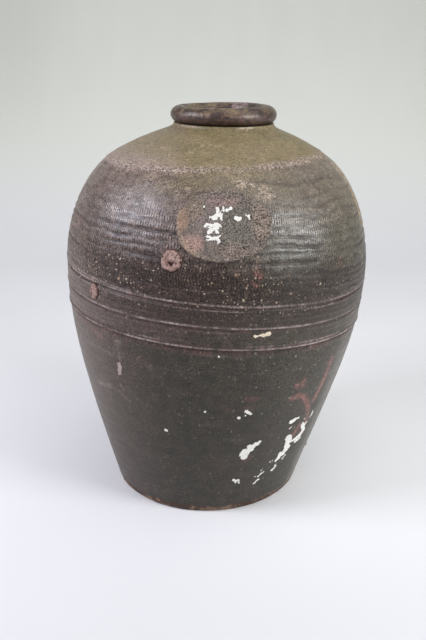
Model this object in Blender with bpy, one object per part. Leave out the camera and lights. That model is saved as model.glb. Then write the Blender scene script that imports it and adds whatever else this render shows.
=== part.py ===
"""A brown-glazed stoneware storage jar, built up the way its potter built it.

The fired jar is made of sections that were formed apart and luted together with slip: a base
slab, a lower wall, a luting band, a paddled belly, a shoulder cap, a neck collar and a rolled
rim. An oval pad and three lumps of kiln clay are fused to its wall.

Lengths are in metres and +Z is up. The origin is the centre of the foot, on the ground. Each
section is drawn as an upright turned profile of radii and heights, and the lean that the pot took
on the wheel is then given to every point. Angles round the jar run from its front, -Y, towards +X.
"""

import math

import bmesh
import bpy
import numpy as np
from mathutils import Matrix, Vector

# Heights of the body: the first two from the ground, each later one from the one before
FLOOR_THICKNESS = 0.012
SEAM_HEIGHT = 0.2385
BELLY_RISE = 0.0555
SHOULDER_RISE = 0.124
CAP_RISE = 0.0355
RIM_DEPTH = 0.0195
COLLAR_DEPTH = 0.010

# Radii of the body
FOOT_RADIUS = 0.118
BELLY_RADIUS = 0.182
SHOULDER_RADIUS = 0.1255
NECK_RADIUS = 0.0585
RIM_OVERHANG = 0.0036
MOUTH_RADIUS = 0.040

# Walls, and the slip-filled gap that stays between two pieces
FOOT_WALL = 0.0125
BODY_WALL = 0.010
NECK_WALL = 0.0155
FOOT_COVE = 0.009
FOOT_EDGE = 0.0025
JOINT_GAP = 0.0003
SEAM_LAP = 0.009

# Shape of the outline: slopes are radius gained per height, handles are shares of each chord
FOOT_SLOPE_SHARE = 0.294
SHOULDER_SLOPE_SHARE = -1.6
LOWER_HANDLE_SHARES = (0.50, 0.28)
UPPER_HANDLE_SHARES = (0.30, 0.33)
CAP_HANDLE_SHARES = (0.69, 0.12)
RIM_SEAT_SHARE = 0.90

# Lean to the right: how far it would carry the mouth, how it grows with height and how the neck
# turns back; then how steeply the rings drop to that side, and how they level out at the rim
LEAN_SHIFT = 0.0247
LEAN_GROWTH_SHARE = 1.40
TURN_BACK_SHARES = (0.186, 12)
RING_DROP_SHARE = 0.1554
RING_LEVEL_SHARE = 2.67

# Seam lip and the cut lines above it, the last of which hides the top joint of the luting band
LIP_PROUD = 0.0012
LIP_WIDTH = 0.005
LINE_PITCH = 0.0245
LINE_COUNT = 2
LINE_WIDTH = 0.0028
LINE_CUT = 0.0011
LINE_RIDGE = 0.0007

# Throwing rings on the upper half of the belly
RING_PITCH = 0.0125
RING_RELIEF = 0.0011
RING_START_RISE = 0.010

# Oval pad on the front of the belly, hung below the shoulder line
PAD_WIDTH = 0.100
PAD_HEIGHT = 0.077
PAD_PROUD = 0.0022
PAD_DROP = 0.0512
PAD_ANGLE = math.radians(1.1)
PAD_EDGE_SLOPE_SHARE = 0.6

# Lumps of kiln clay on the wall
UPPER_WAD_ANGLE = math.radians(-16.0)
UPPER_WAD_DROP = 0.0374
UPPER_WAD_RADIUS = 0.011
UPPER_WAD_CROWN = 0.0026
UPPER_WAD_PIT_RADIUS = 0.0042
UPPER_WAD_PIT_DEPTH = 0.0016
SIDE_WAD_ANGLE = math.radians(-47.1)
SIDE_WAD_RISE = 0.0374
SIDE_WAD_RADIUS = 0.009
SIDE_WAD_CROWN = 0.0024
SIDE_WAD_PIT_RADIUS = 0.0026
SIDE_WAD_PIT_DEPTH = 0.0010
FOOT_LUMP_ANGLE = math.radians(84.0)
FOOT_LUMP_HEIGHT = 0.041
FOOT_LUMP_RADIUS = 0.0075
FOOT_LUMP_CROWN = 0.0030
WAD_SHOULDER_SHARES = ((1.0, 0.0), (0.93, 0.45), (0.78, 0.82), (0.58, 1.0))
PIT_FLOOR_SHARE = 0.5
LUMP_TOP_SHARES = (0.25, 1.12)

# How finely the curves are stepped
SEGMENTS = 60
CURVE_STEPS = 80
RIM_STEPS = 15
PAD_SEGMENTS = 40
WAD_SEGMENTS = 20
LOWER_STATIONS = 11
INNER_STATIONS = 8
BAND_STATIONS = 4
CAP_STATIONS = 6
COLLAR_STATIONS = 5
COVE_STEPS = 4
SHARP_ANGLE = math.radians(38)

# Places worked out from the sizes above
BELLY_HEIGHT = SEAM_HEIGHT + BELLY_RISE
SHOULDER_HEIGHT = BELLY_HEIGHT + SHOULDER_RISE
NECK_HEIGHT = SHOULDER_HEIGHT + CAP_RISE
COLLAR_HEIGHT = NECK_HEIGHT - COLLAR_DEPTH
JAR_HEIGHT = NECK_HEIGHT + RIM_DEPTH
BAND_HEIGHT = SEAM_HEIGHT + LINE_COUNT * LINE_PITCH - LINE_WIDTH / 2
RIM_RADIUS = NECK_RADIUS + RIM_OVERHANG
PAD_MIDDLE = SHOULDER_HEIGHT - PAD_DROP
UPPER_WAD_HEIGHT = PAD_MIDDLE - UPPER_WAD_DROP
SIDE_WAD_HEIGHT = SEAM_HEIGHT + SIDE_WAD_RISE

# Finishes: colour, roughness and metallic value
FINISHES = {
    "bare_foot_clay": ((0.130, 0.078, 0.052), 0.85, 0.0),
    "lower_glaze": ((0.058, 0.049, 0.041), 0.42, 0.0),
    "band_glaze": ((0.066, 0.052, 0.046), 0.42, 0.0),
    "belly_glaze": ((0.072, 0.055, 0.048), 0.40, 0.0),
    "olive_ash_glaze": ((0.150, 0.128, 0.070), 0.55, 0.0),
    "neck_glaze": ((0.160, 0.135, 0.082), 0.50, 0.0),
    "rim_glaze": ((0.062, 0.043, 0.047), 0.25, 0.0),
    "pad_clay": ((0.120, 0.078, 0.062), 0.75, 0.0),
    "kiln_clay": ((0.360, 0.190, 0.165), 0.85, 0.0),
    "lump_glaze": ((0.060, 0.048, 0.040), 0.50, 0.0),
}


def clear_scene():
    for item in list(bpy.data.objects):
        bpy.data.objects.remove(item)


# Outline of the upright jar


def curve_points(start, start_way, end, end_way, shares):
    """Points of a cubic curve between two (radius, height) points, with its two end directions."""
    first, last = Vector(start), Vector(end)
    chord = (last - first).length
    near = first + Vector(start_way).normalized() * chord * shares[0]
    far = last - Vector(end_way).normalized() * chord * shares[1]
    points = []
    for step in range(CURVE_STEPS + 1):
        t = step / CURVE_STEPS
        points.append((1 - t) ** 3 * first + 3 * (1 - t) ** 2 * t * near
                      + 3 * (1 - t) * t ** 2 * far + t ** 3 * last)
    return points


def outline_table():
    """Heights, radii and slopes of the plain outer surface, from the foot to the neck."""
    foot = (FOOT_RADIUS, 0)
    belly = (BELLY_RADIUS, BELLY_HEIGHT)
    shoulder = (SHOULDER_RADIUS, SHOULDER_HEIGHT)
    neck = (NECK_RADIUS, NECK_HEIGHT)
    upright = (0, 1)
    foot_way = (FOOT_SLOPE_SHARE, 1)
    shoulder_way = (SHOULDER_SLOPE_SHARE, 1)
    points = curve_points(foot, foot_way, belly, upright, LOWER_HANDLE_SHARES)
    points += curve_points(belly, upright, shoulder, shoulder_way, UPPER_HANDLE_SHARES)[1:]
    points += curve_points(shoulder, shoulder_way, neck, upright, CAP_HANDLE_SHARES)[1:]
    heights = np.array([point[1] for point in points])
    radii = np.array([point[0] for point in points])
    return heights, radii, np.gradient(radii, heights)


HEIGHTS, RADII, SLOPES = outline_table()


def outer_radius(height):
    return float(np.interp(height, HEIGHTS, RADII))


def outward(height):
    """Unit (radius, height) direction that points out of the wall."""
    return Vector((1, -float(np.interp(height, HEIGHTS, SLOPES)))).normalized()


def wall_thickness(height):
    stops = (0, SEAM_HEIGHT, COLLAR_HEIGHT, NECK_HEIGHT)
    return float(np.interp(height, stops, (FOOT_WALL, BODY_WALL, BODY_WALL, NECK_WALL)))


def outer_point(height, proud=0):
    return Vector((outer_radius(height) + proud, height))


def inner_point(height):
    return outer_point(height) - outward(height) * wall_thickness(height)


def spread(low, high, count):
    return [low + (high - low) * step / (count - 1) for step in range(count)]


# Outer skins of the sections, bottom to top


def lower_skin():
    return [outer_point(height)
            for height in spread(FLOOR_THICKNESS + JOINT_GAP, SEAM_HEIGHT, LOWER_STATIONS)]


def band_skin():
    """The seam lip and the cut lines, up to the bottom of the last cut."""
    skin = [outer_point(SEAM_HEIGHT, LIP_PROUD / 2),
            outer_point(SEAM_HEIGHT + LIP_WIDTH / 2, LIP_PROUD),
            outer_point(SEAM_HEIGHT + LIP_WIDTH)]
    for line in range(1, LINE_COUNT):
        middle = SEAM_HEIGHT + line * LINE_PITCH
        skin.append(outer_point(middle - LINE_WIDTH))
        skin.append(outer_point(middle - LINE_WIDTH / 2, -LINE_CUT))
        skin.append(outer_point(middle, LINE_RIDGE))
        skin.append(outer_point(middle + LINE_WIDTH))
    skin.append(outer_point(BAND_HEIGHT - LINE_WIDTH / 2))
    skin.append(outer_point(BAND_HEIGHT, -LINE_CUT))
    return skin


def belly_skin():
    """The ridge of the last cut line and the throwing rings, up to the shoulder line."""
    skin = [outer_point(BAND_HEIGHT, -LINE_CUT),
            outer_point(BAND_HEIGHT + LINE_WIDTH / 2, LINE_RIDGE),
            outer_point(BAND_HEIGHT + LINE_WIDTH / 2 + LINE_WIDTH)]
    start = max(BELLY_HEIGHT + RING_START_RISE, skin[-1][1] + RING_PITCH / 2)
    rings = math.floor((SHOULDER_HEIGHT - RING_PITCH / 2 - start) / RING_PITCH)
    for half_turn in range(2 * rings + 1):
        side = 1 if half_turn % 2 else -1
        skin.append(outer_point(start + half_turn * RING_PITCH / 2, side * RING_RELIEF / 2))
    skin.append(outer_point(SHOULDER_HEIGHT))
    return skin


def cap_skin():
    return [outer_point(height)
            for height in spread(SHOULDER_HEIGHT, COLLAR_HEIGHT, CAP_STATIONS)]


def collar_skin():
    return [outer_point(height)
            for height in spread(COLLAR_HEIGHT, NECK_HEIGHT, COLLAR_STATIONS)]


# Solids


def finish_material(name):
    colour, roughness, metallic = FINISHES[name]
    material = bpy.data.materials.new(name)
    material.use_nodes = True
    shader = material.node_tree.nodes["Principled BSDF"]
    shader.inputs["Base Color"].default_value = (*colour, 1)
    shader.inputs["Roughness"].default_value = roughness
    shader.inputs["Metallic"].default_value = metallic
    material.diffuse_color = (*colour, 1)
    return material


def leaned(radius, height, angle):
    """Where a point of the upright jar stands once the jar leans to the right."""
    rise = height / JAR_HEIGHT
    turned_back = TURN_BACK_SHARES[0] * rise ** TURN_BACK_SHARES[1]
    shift = LEAN_SHIFT * rise ** LEAN_GROWTH_SHARE * (1 - turned_back)
    drop = RING_DROP_SHARE * rise * (1 - rise ** RING_LEVEL_SHARE)
    across = radius * math.sin(angle)
    return Vector((across + shift, -radius * math.cos(angle), height - drop * across))


def object_from(bm, name, finish):
    bmesh.ops.recalc_face_normals(bm, faces=bm.faces)
    mesh = bpy.data.meshes.new(name)
    bm.to_mesh(mesh)
    bm.free()
    mesh.shade_smooth()
    mesh.set_sharp_from_angle(angle=SHARP_ANGLE)
    if finish:
        mesh.materials.append(finish_material(finish))
    item = bpy.data.objects.new(name, mesh)
    bpy.context.scene.collection.objects.link(item)
    return item


def turned(name, loop, finish):
    """A turned solid from its (radius, height) points. A loop that starts and ends on the axis
    is a full body, and any other closes on itself as a ring."""
    bm = bmesh.new()
    rings = []
    for radius, height in loop:
        if radius == 0:
            rings.append([bm.verts.new(leaned(0, height, 0))] * SEGMENTS)
        else:
            rings.append([bm.verts.new(leaned(radius, height, math.tau * step / SEGMENTS))
                          for step in range(SEGMENTS)])
    pairs = list(zip(rings, rings[1:]))
    if loop[0][0] != 0:
        pairs.append((rings[-1], rings[0]))
    for below, above in pairs:
        for step in range(SEGMENTS):
            following = (step + 1) % SEGMENTS
            corners = (below[step], below[following], above[following], above[step])
            bm.faces.new(list(dict.fromkeys(corners)))
    return object_from(bm, name, finish)


def raised(points):
    """The two ends of a joint face, moved up from the face below by the joint's gap."""
    outer, inner = points
    along = (outer - inner).normalized()
    up = Vector((-along[1], along[0]))
    return outer + up * JOINT_GAP, inner + up * JOINT_GAP


def seam_face():
    return outer_point(SEAM_HEIGHT), inner_point(SEAM_HEIGHT + SEAM_LAP)


def band_face():
    return outer_point(BAND_HEIGHT, -LINE_CUT), inner_point(BAND_HEIGHT + SEAM_LAP)


def shoulder_face():
    return outer_point(SHOULDER_HEIGHT), inner_point(SHOULDER_HEIGHT)


def collar_face():
    return outer_point(COLLAR_HEIGHT), inner_point(COLLAR_HEIGHT)


def inner_run(high, low, count):
    """Points of the inner surface between two places of the outline, top to bottom."""
    return [inner_point(height) for height in spread(high, low, count)][1:-1]


def base_slab():
    loop = [(0, 0), (FOOT_RADIUS - FOOT_EDGE, 0), (outer_radius(FOOT_EDGE), FOOT_EDGE),
            (outer_radius(FLOOR_THICKNESS), FLOOR_THICKNESS), (0, FLOOR_THICKNESS)]
    return turned("base_slab", loop, "bare_foot_clay")


def foot_cove(seat, top):
    """The hollow corner where the wall's inside meets the floor, from its top down to its toe."""
    wall = inner_point(top)
    toe_radius = outer_radius(seat) - wall_thickness(seat) - FOOT_COVE
    points = []
    for turn in spread(0, math.pi / 2, COVE_STEPS):
        points.append(Vector((toe_radius + (wall[0] - toe_radius) * math.cos(turn),
                              wall[1] - (wall[1] - seat) * math.sin(turn))))
    return points


def lower_wall():
    seat = FLOOR_THICKNESS + JOINT_GAP
    cove_top = seat + FOOT_COVE
    seam_outer, seam_inner = seam_face()
    skin = lower_skin()[:-1] + [seam_outer]
    inside = inner_run(SEAM_HEIGHT + SEAM_LAP, cove_top, INNER_STATIONS)
    loop = skin + [seam_inner] + inside + foot_cove(seat, cove_top)
    return turned("lower_wall", loop, "lower_glaze")


def belly_band():
    seam_outer, seam_inner = raised(seam_face())
    band_outer, band_inner = band_face()
    skin = [seam_outer + Vector((LIP_PROUD / 2, 0))] + band_skin()[1:-1] + [band_outer]
    inside = inner_run(BAND_HEIGHT + SEAM_LAP, SEAM_HEIGHT + SEAM_LAP, BAND_STATIONS)
    return turned("belly_band", skin + [band_inner] + inside + [seam_inner], "band_glaze")


def belly_wall():
    band_outer, band_inner = raised(band_face())
    shoulder_outer, shoulder_inner = shoulder_face()
    skin = [band_outer] + belly_skin()[1:-1] + [shoulder_outer]
    inside = inner_run(SHOULDER_HEIGHT, BAND_HEIGHT + SEAM_LAP, INNER_STATIONS)
    return turned("belly_wall", skin + [shoulder_inner] + inside + [band_inner], "belly_glaze")


def shoulder_cap():
    low_outer, low_inner = raised(shoulder_face())
    high_outer, high_inner = collar_face()
    skin = [low_outer] + cap_skin()[1:-1] + [high_outer]
    inside = inner_run(COLLAR_HEIGHT, SHOULDER_HEIGHT, CAP_STATIONS)
    return turned("shoulder_cap", skin + [high_inner] + inside + [low_inner], "olive_ash_glaze")


def neck_collar():
    low_outer, low_inner = raised(collar_face())
    skin = [low_outer] + collar_skin()[1:]
    inside = [inner_point(height) for height in spread(NECK_HEIGHT, COLLAR_HEIGHT, COLLAR_STATIONS)]
    return turned("neck_collar", skin + inside[:-1] + [low_inner], "neck_glaze")


def rolled_rim():
    """A thick roll of clay, oval in section, with a flat seat pressed on the collar."""
    half_width = (RIM_RADIUS - MOUTH_RADIUS) / 2
    half_depth = (RIM_DEPTH - JOINT_GAP) / (1 + RIM_SEAT_SHARE)
    middle = Vector((MOUTH_RADIUS + half_width, JAR_HEIGHT - half_depth))
    seat_turn = math.asin(RIM_SEAT_SHARE)
    loop = []
    for turn in spread(-seat_turn, math.pi + seat_turn, RIM_STEPS):
        loop.append(middle + Vector((half_width * math.cos(turn), half_depth * math.sin(turn))))
    return turned("rolled_rim", loop, "rim_glaze")


# Pieces fused to the wall


def wall_shell(name, low, high, thickness, finish):
    """A ring that lies on the outer skin, a joint's gap away, and reaches past two heights."""
    stations = lower_skin() + band_skin() + belly_skin() + cap_skin()
    first = max(index for index, point in enumerate(stations) if point[1] <= low)
    last = min(index for index, point in enumerate(stations) if point[1] >= high)
    skin = stations[first:last + 1]
    back = []
    front = []
    for point in skin:
        clearance = JOINT_GAP / outward(point[1])[0]
        back.append(point + Vector((clearance, 0)))
        front.append(outer_point(point[1]) + outward(point[1]) * thickness)
    return turned(name, front + back[::-1], finish)


def wall_frame(angle, height):
    """Matrix at a place on the wall, with its z axis pointing out and its x axis level."""
    place = leaned(outer_radius(height), height, angle)
    level = leaned(outer_radius(height), height, angle + math.pi / SEGMENTS) - place
    rise = BODY_WALL
    up = leaned(outer_radius(height + rise), height + rise, angle) - place
    out = level.cross(up).normalized()
    level.normalize()
    return Matrix.Translation(place) @ Matrix((level, out.cross(level), out)).transposed().to_4x4()


def cut_to(item, cutter):
    cutter.hide_render = True
    cutter.display_type = "WIRE"
    cut = item.modifiers.new("outline", "BOOLEAN")
    cut.operation = "INTERSECT"
    cut.object = cutter


def lofted(name, sections, placed):
    """A closed solid through rings of local points, capped at both ends."""
    bm = bmesh.new()
    rings = [[bm.verts.new(placed @ point) for point in section] for section in sections]
    bm.faces.new(rings[0])
    bm.faces.new(rings[-1])
    for below, above in zip(rings, rings[1:]):
        for step in range(len(below)):
            following = (step + 1) % len(below)
            bm.faces.new((below[step], below[following], above[following], above[step]))
    return object_from(bm, name, None)


def oval(half_width, half_height, level, count):
    return [Vector((half_width * math.cos(math.tau * step / count),
                    half_height * math.sin(math.tau * step / count), level))
            for step in range(count)]


def shoulder_pad():
    """A thin oval pad with a sloped edge, bent to the belly that it lies on."""
    reach = PAD_HEIGHT / 2 + RING_PITCH
    pad = wall_shell("shoulder_pad", PAD_MIDDLE - reach, PAD_MIDDLE + reach, PAD_PROUD, "pad_clay")
    sag = (PAD_WIDTH / 2) ** 2 / (2 * outer_radius(PAD_MIDDLE))
    sections = []
    for level in (-2 * sag, sag):
        growth = -PAD_EDGE_SLOPE_SHARE * (level + sag)
        sections.append(oval(PAD_WIDTH / 2 + growth, PAD_HEIGHT / 2 + growth, level, PAD_SEGMENTS))
    cut_to(pad, lofted("shoulder_pad_cutter", sections, wall_frame(PAD_ANGLE, PAD_MIDDLE)))
    return pad


def wad_sections(radius, crown, pit=None):
    """Round sections of a low lump, from behind the wall's face to its top or into its pit."""
    levels = [(radius, -radius)]
    levels += [(radius * out, crown * up) for out, up in WAD_SHOULDER_SHARES]
    if pit:
        pit_radius, pit_depth = pit
        levels += [(pit_radius, crown), (pit_radius * PIT_FLOOR_SHARE, crown - pit_depth)]
    else:
        levels.append((radius * LUMP_TOP_SHARES[0], crown * LUMP_TOP_SHARES[1]))
    return [oval(size, size, level, WAD_SEGMENTS) for size, level in levels]


def kiln_wad(name, angle, height, sections, finish):
    radius = sections[0][0].x
    reach = radius + RING_PITCH
    wad = wall_shell(name, height - reach, height + reach, radius, finish)
    cut_to(wad, lofted(name + "_cutter", sections, wall_frame(angle, height)))
    return wad


def kiln_wads():
    """Two wads that once held other pots apart, each with a pit, and one plain lump."""
    return [
        kiln_wad("upper_kiln_wad", UPPER_WAD_ANGLE, UPPER_WAD_HEIGHT,
                 wad_sections(UPPER_WAD_RADIUS, UPPER_WAD_CROWN,
                              (UPPER_WAD_PIT_RADIUS, UPPER_WAD_PIT_DEPTH)), "kiln_clay"),
        kiln_wad("side_kiln_wad", SIDE_WAD_ANGLE, SIDE_WAD_HEIGHT,
                 wad_sections(SIDE_WAD_RADIUS, SIDE_WAD_CROWN,
                              (SIDE_WAD_PIT_RADIUS, SIDE_WAD_PIT_DEPTH)), "kiln_clay"),
        kiln_wad("foot_clay_lump", FOOT_LUMP_ANGLE, FOOT_LUMP_HEIGHT,
                 wad_sections(FOOT_LUMP_RADIUS, FOOT_LUMP_CROWN), "lump_glaze"),
    ]


def build():
    clear_scene()
    jar = bpy.data.objects.new("jar", None)
    bpy.context.scene.collection.objects.link(jar)
    pieces = [base_slab(), lower_wall(), belly_band(), belly_wall(), shoulder_cap()]
    pieces += [neck_collar(), rolled_rim(), shoulder_pad()] + kiln_wads()
    for piece in pieces:
        piece.parent = jar


build()
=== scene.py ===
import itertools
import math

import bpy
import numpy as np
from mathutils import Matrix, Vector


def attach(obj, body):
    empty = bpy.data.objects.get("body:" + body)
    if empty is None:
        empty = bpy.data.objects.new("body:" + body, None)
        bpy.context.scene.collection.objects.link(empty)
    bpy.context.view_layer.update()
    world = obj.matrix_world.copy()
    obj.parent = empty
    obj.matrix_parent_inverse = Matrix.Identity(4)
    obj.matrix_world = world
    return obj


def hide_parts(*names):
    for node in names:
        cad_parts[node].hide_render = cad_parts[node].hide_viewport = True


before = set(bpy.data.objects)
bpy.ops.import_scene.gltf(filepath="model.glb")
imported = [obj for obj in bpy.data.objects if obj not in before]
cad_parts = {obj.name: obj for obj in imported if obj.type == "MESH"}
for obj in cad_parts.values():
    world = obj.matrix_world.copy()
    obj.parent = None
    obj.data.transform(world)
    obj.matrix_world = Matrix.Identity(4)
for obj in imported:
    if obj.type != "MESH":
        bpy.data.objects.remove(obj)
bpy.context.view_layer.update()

# A brown-glazed stoneware storage jar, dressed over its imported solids.
#
# Each solid of the pot is meshed again, fine enough for its throwing rings, paddle marks, cut
# lines and worn edges. A place on the upright jar is an angle round it, from the front towards
# +X, and a height. One function gives the relief there, another gives the smears, and the lean of
# the pot comes last. Lengths are in metres, and n stands for the nodes of a material.

BODY = "root"

# Sizes of the pot, the same as in its solids
FLOOR_THICKNESS = 0.012
SEAM_HEIGHT = 0.2385
BELLY_HEIGHT = 0.294
SHOULDER_HEIGHT = 0.418
NECK_HEIGHT = 0.4535
COLLAR_HEIGHT = 0.4435
JAR_HEIGHT = 0.473
FOOT_RADIUS = 0.118
BELLY_RADIUS = 0.182
SHOULDER_RADIUS = 0.1255
NECK_RADIUS = 0.0585
RIM_RADIUS = 0.0621
MOUTH_RADIUS = 0.04
FOOT_WALL = 0.0125
BODY_WALL = 0.01
NECK_WALL = 0.0155
FOOT_COVE = 0.009
JOINT_GAP = 0.0003
SEAM_LAP = 0.009
LEAN_SHIFT = 0.0247
LEAN_GROWTH_SHARE = 1.4
TURN_BACK_SHARES = (0.186, 12)
RING_DROP_SHARE = 0.1554
RING_LEVEL_SHARE = 2.67
LINE_HEIGHTS = (0.2628, 0.2871)
BAND_HEIGHT = 0.2861
SEAT_INSET = 0.0022
# Heights of the lowest rows of the slab's edge, and how far they are worn back
EDGE_HEIGHTS = (0.0006, 0.0014, 0.0024)
EDGE_WEAR = (0.0016, 0.0008)
# The rim's roll: its height in half-depths, and the sine of the turn at which its flat seat begins
RIM_DEPTH_SHARE = 1.9
RIM_SEAT_SINE = 0.93

# Points round the wall and round the belly, ribs round the wall, and cells of the noise
SEGMENTS = 1080
BELLY_SEGMENTS = 1440
HATCH_COUNT = 360
LATTICE = 40
# Rows of each section's outer face, and rows and columns of the lumps
LOWER_ROWS, BAND_ROWS, BELLY_ROWS, CAP_ROWS, NECK_ROWS, RIM_ROWS = 76, 82, 62, 62, 22, 84
PAD_GRID, WAD_GRID = (110, 420), (40, 150)
# Where the finely meshed belly is parted into rings of one wall
BELLY_SPLITS = (0.330, 0.372)


# Outline and lean


def cubic(start, start_way, end, end_way, shares, steps=400):
    """Points of a cubic arc that leaves and reaches its ends in the given directions."""
    first, last = np.array(start), np.array(end)
    chord = np.linalg.norm(last - first)
    near = first + np.array(start_way) / np.linalg.norm(start_way) * chord * shares[0]
    far = last - np.array(end_way) / np.linalg.norm(end_way) * chord * shares[1]
    share = np.linspace(0, 1, steps)[:, None]
    rest = 1 - share
    return (rest ** 3 * first + 3 * rest ** 2 * share * near
            + 3 * rest * share ** 2 * far + share ** 3 * last)


def outline():
    """Heights, radii, slopes and arc lengths of the plain wall from foot to neck."""
    foot, belly = (FOOT_RADIUS, 0), (BELLY_RADIUS, BELLY_HEIGHT)
    shoulder, neck = (SHOULDER_RADIUS, SHOULDER_HEIGHT), (NECK_RADIUS, NECK_HEIGHT)
    points = np.concatenate([cubic(foot, (0.294, 1), belly, (0, 1), (0.5, 0.28)),
                             cubic(belly, (0, 1), shoulder, (-1.6, 1), (0.3, 0.33))[1:],
                             cubic(shoulder, (-1.6, 1), neck, (0, 1), (0.69, 0.12))[1:]])
    radii, heights = points.T
    arcs = np.concatenate([[0], np.cumsum(np.linalg.norm(np.diff(points, axis=0), axis=1))])
    return heights, radii, np.gradient(radii, heights), arcs


HEIGHTS, RADII, SLOPES, ARCS = outline()


def wall_radius(height):
    return np.interp(height, HEIGHTS, RADII)


def skin(height, proud):
    """Radius and height of the place that stands proud of the plain wall, square to it."""
    slope = np.interp(height, HEIGHTS, SLOPES)
    share = 1 / np.sqrt(1 + slope ** 2)
    return wall_radius(height) + proud * share, height - slope * share * proud


def inner_skin(height):
    stops = (0, SEAM_HEIGHT, COLLAR_HEIGHT, NECK_HEIGHT)
    return skin(height, -np.interp(height, stops, (FOOT_WALL, BODY_WALL, BODY_WALL, NECK_WALL)))


def upright(radius, height, angle):
    return np.stack([radius * np.sin(angle), -radius * np.cos(angle), height + 0 * angle], -1)


def leaned(points):
    """Where points of the upright jar stand once the jar leans to the right."""
    across, depth, height = points[..., 0], points[..., 1], points[..., 2]
    rise = height / JAR_HEIGHT
    turned_back = TURN_BACK_SHARES[0] * rise ** TURN_BACK_SHARES[1]
    shift = LEAN_SHIFT * rise ** LEAN_GROWTH_SHARE * (1 - turned_back)
    drop = RING_DROP_SHARE * rise * (1 - rise ** RING_LEVEL_SHARE)
    return np.stack([across + shift, depth, height - drop * across], -1)


# Noise and shapes that the relief is made of


def noise(points, size, seed):
    """Smooth noise from -1 to 1 whose lumps are about size across."""
    values = np.random.default_rng(seed).uniform(-1, 1, (LATTICE,) * 3)
    cell = points / size
    low = np.floor(cell).astype(int)
    part = cell - low
    part = part * part * (3 - 2 * part)
    total = np.zeros(points.shape[:-1])
    for corner in itertools.product((0, 1), repeat=3):
        share = np.ones(points.shape[:-1])
        for axis in range(3):
            share = share * (part[..., axis] if corner[axis] else 1 - part[..., axis])
        index = (low + corner) % LATTICE
        total += share * values[index[..., 0], index[..., 1], index[..., 2]]
    return total


def lumps(points, *kinds):
    """Noise of several kinds added up, each a height, a width and a seed."""
    return sum(rise * noise(points, width, seed) for rise, width, seed in kinds)


def bell(distance, width):
    return np.exp(-(distance / width) ** 2)


def step_up(value, low, high):
    share = np.clip((value - low) / (high - low), 0, 1)
    return share * share * (3 - 2 * share)


def zone(height, rise, fall):
    """One between two heights, with a soft start and a soft end."""
    return step_up(height, *rise) * (1 - step_up(height, *fall))


def line_distance(across, up, run, rise):
    """Distance from the line that goes from the origin to (run, rise)."""
    length = run * run + rise * rise
    along = np.clip((across * run + up * rise) / length, 0, 1) if length else 0
    return np.hypot(across - along * run, up - along * rise)


def stroke(angle, height, start, end):
    """Distance in metres along the wall from a line between two places (degrees, height)."""
    first, last = math.radians(start[0]), math.radians(end[0])
    radius = float(wall_radius((start[1] + end[1]) / 2))
    turn = (angle - first + math.pi) % math.tau - math.pi
    return line_distance(turn * radius, height - start[1], (last - first) * radius,
                         end[1] - start[1])


# Relief of the wall

# Throwing rings of the belly: height, depth and half-width of each groove
RINGS = (
    (0.2962, 0.00014, 0.0016), (0.3035, 0.00016, 0.0018), (0.311, 0.00026, 0.0017),
    (0.318, 0.0004, 0.0019), (0.3298, 0.00085, 0.0021), (0.339, 0.0005, 0.0017),
    (0.3466, 0.00088, 0.0019), (0.3556, 0.00072, 0.0016), (0.366, 0.00026, 0.0019),
    (0.3762, 0.00024, 0.002), (0.3858, 0.0002, 0.0015), (0.3945, 0.00013, 0.0015),
    (0.405, 0.00012, 0.0017))
# How far from its middle a ring is worked out
RING_REACH = 0.010
# Faint turning lines of the band and the belly's foot: height and depth
FAINT_RINGS = (
    (0.2452, 0.00018), (0.2515, 0.00034), (0.2572, 0.00016), (0.2705, 0.00026), (0.2768, 0.00036),
    (0.2822, 0.00018), (0.2925, 0.00026), (0.301, 0.00026), (0.229, 0.00018), (0.2085, 0.00016))

# Forms of the seam and the cut lines: how far each stands out or, below zero, sinks in, and its
# half-width
SEAM_LIP, SEAM_SWELL, SEAM_UNDERCUT = (0.0011, 0.0026), (0.0003, 0.008), (-0.0005, 0.0022)
SECOND_LIP, BRANCH = (0.00045, 0.0011), (0.0006, 0.0009)
CUT_RIDGE, CUT_GROOVE, CUT_TWIN = (0.0007, 0.0011), (-0.0009, 0.0013), (0.00035, 0.0010)
# How far their middles lie above or below the seam or the cut line, and how far they wander
SECOND_LIFT, SECOND_SWAY, RIDGE_LIFT, GROOVE_DROP, TWIN_DROP = 0.0038, 0.0012, 0.0003, 0.0018, 0.0052
BRANCH_LIFT, BRANCH_SPREAD, LINE_SWAY = 0.0016, 0.0034, 0.0006
# Unevenness of the wall: width of its lumps, their height and what the belly adds, noise seed
UNEVENNESS = ((0.085, 0.0004, 0, 1), (0.024, 0.00016, 0, 2), (0.0075, 0.00006, 0.00006, 3),
              (0.0038, 0.00004, 0.00003, 4))
# Heights where the rough belly and the paddled part begin and end
ROUGH_BELLY = ((0.280, 0.300), (0.412, 0.422))
PADDLED = ((0.290, 0.306), (0.384, 0.408))
# Throwing rings: how far they wander and how far the wall swells between them; then the paddle's
# ribs, the potter's turning marks, the belt at the shoulder line and the wear of the foot
RING_SWAY, RING_SHAKE, RING_SWELL, RIB_HEIGHT = 0.0028, 0.0015, 0.00024, 0.0001
TURNING_MARK, CAP_TURNING_MARK = 0.00007, 0.00008
BELT_HALF_WIDTH, BELT_RISE, BELT_ROUGHNESS, FOOT_WEAR = 0.0032, 0.0003, 0.00035, 0.00045
# The rough line where the cap's ash glaze ends: its height over the jar's middle, and its slope
SHOULDER_LINE, SHOULDER_LINE_SLOPE = 0.4178, 0.060


def form(distance, size, half_width):
    """A soft ridge, or a groove if its size is below zero."""
    return size * bell(distance, half_width)


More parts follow.
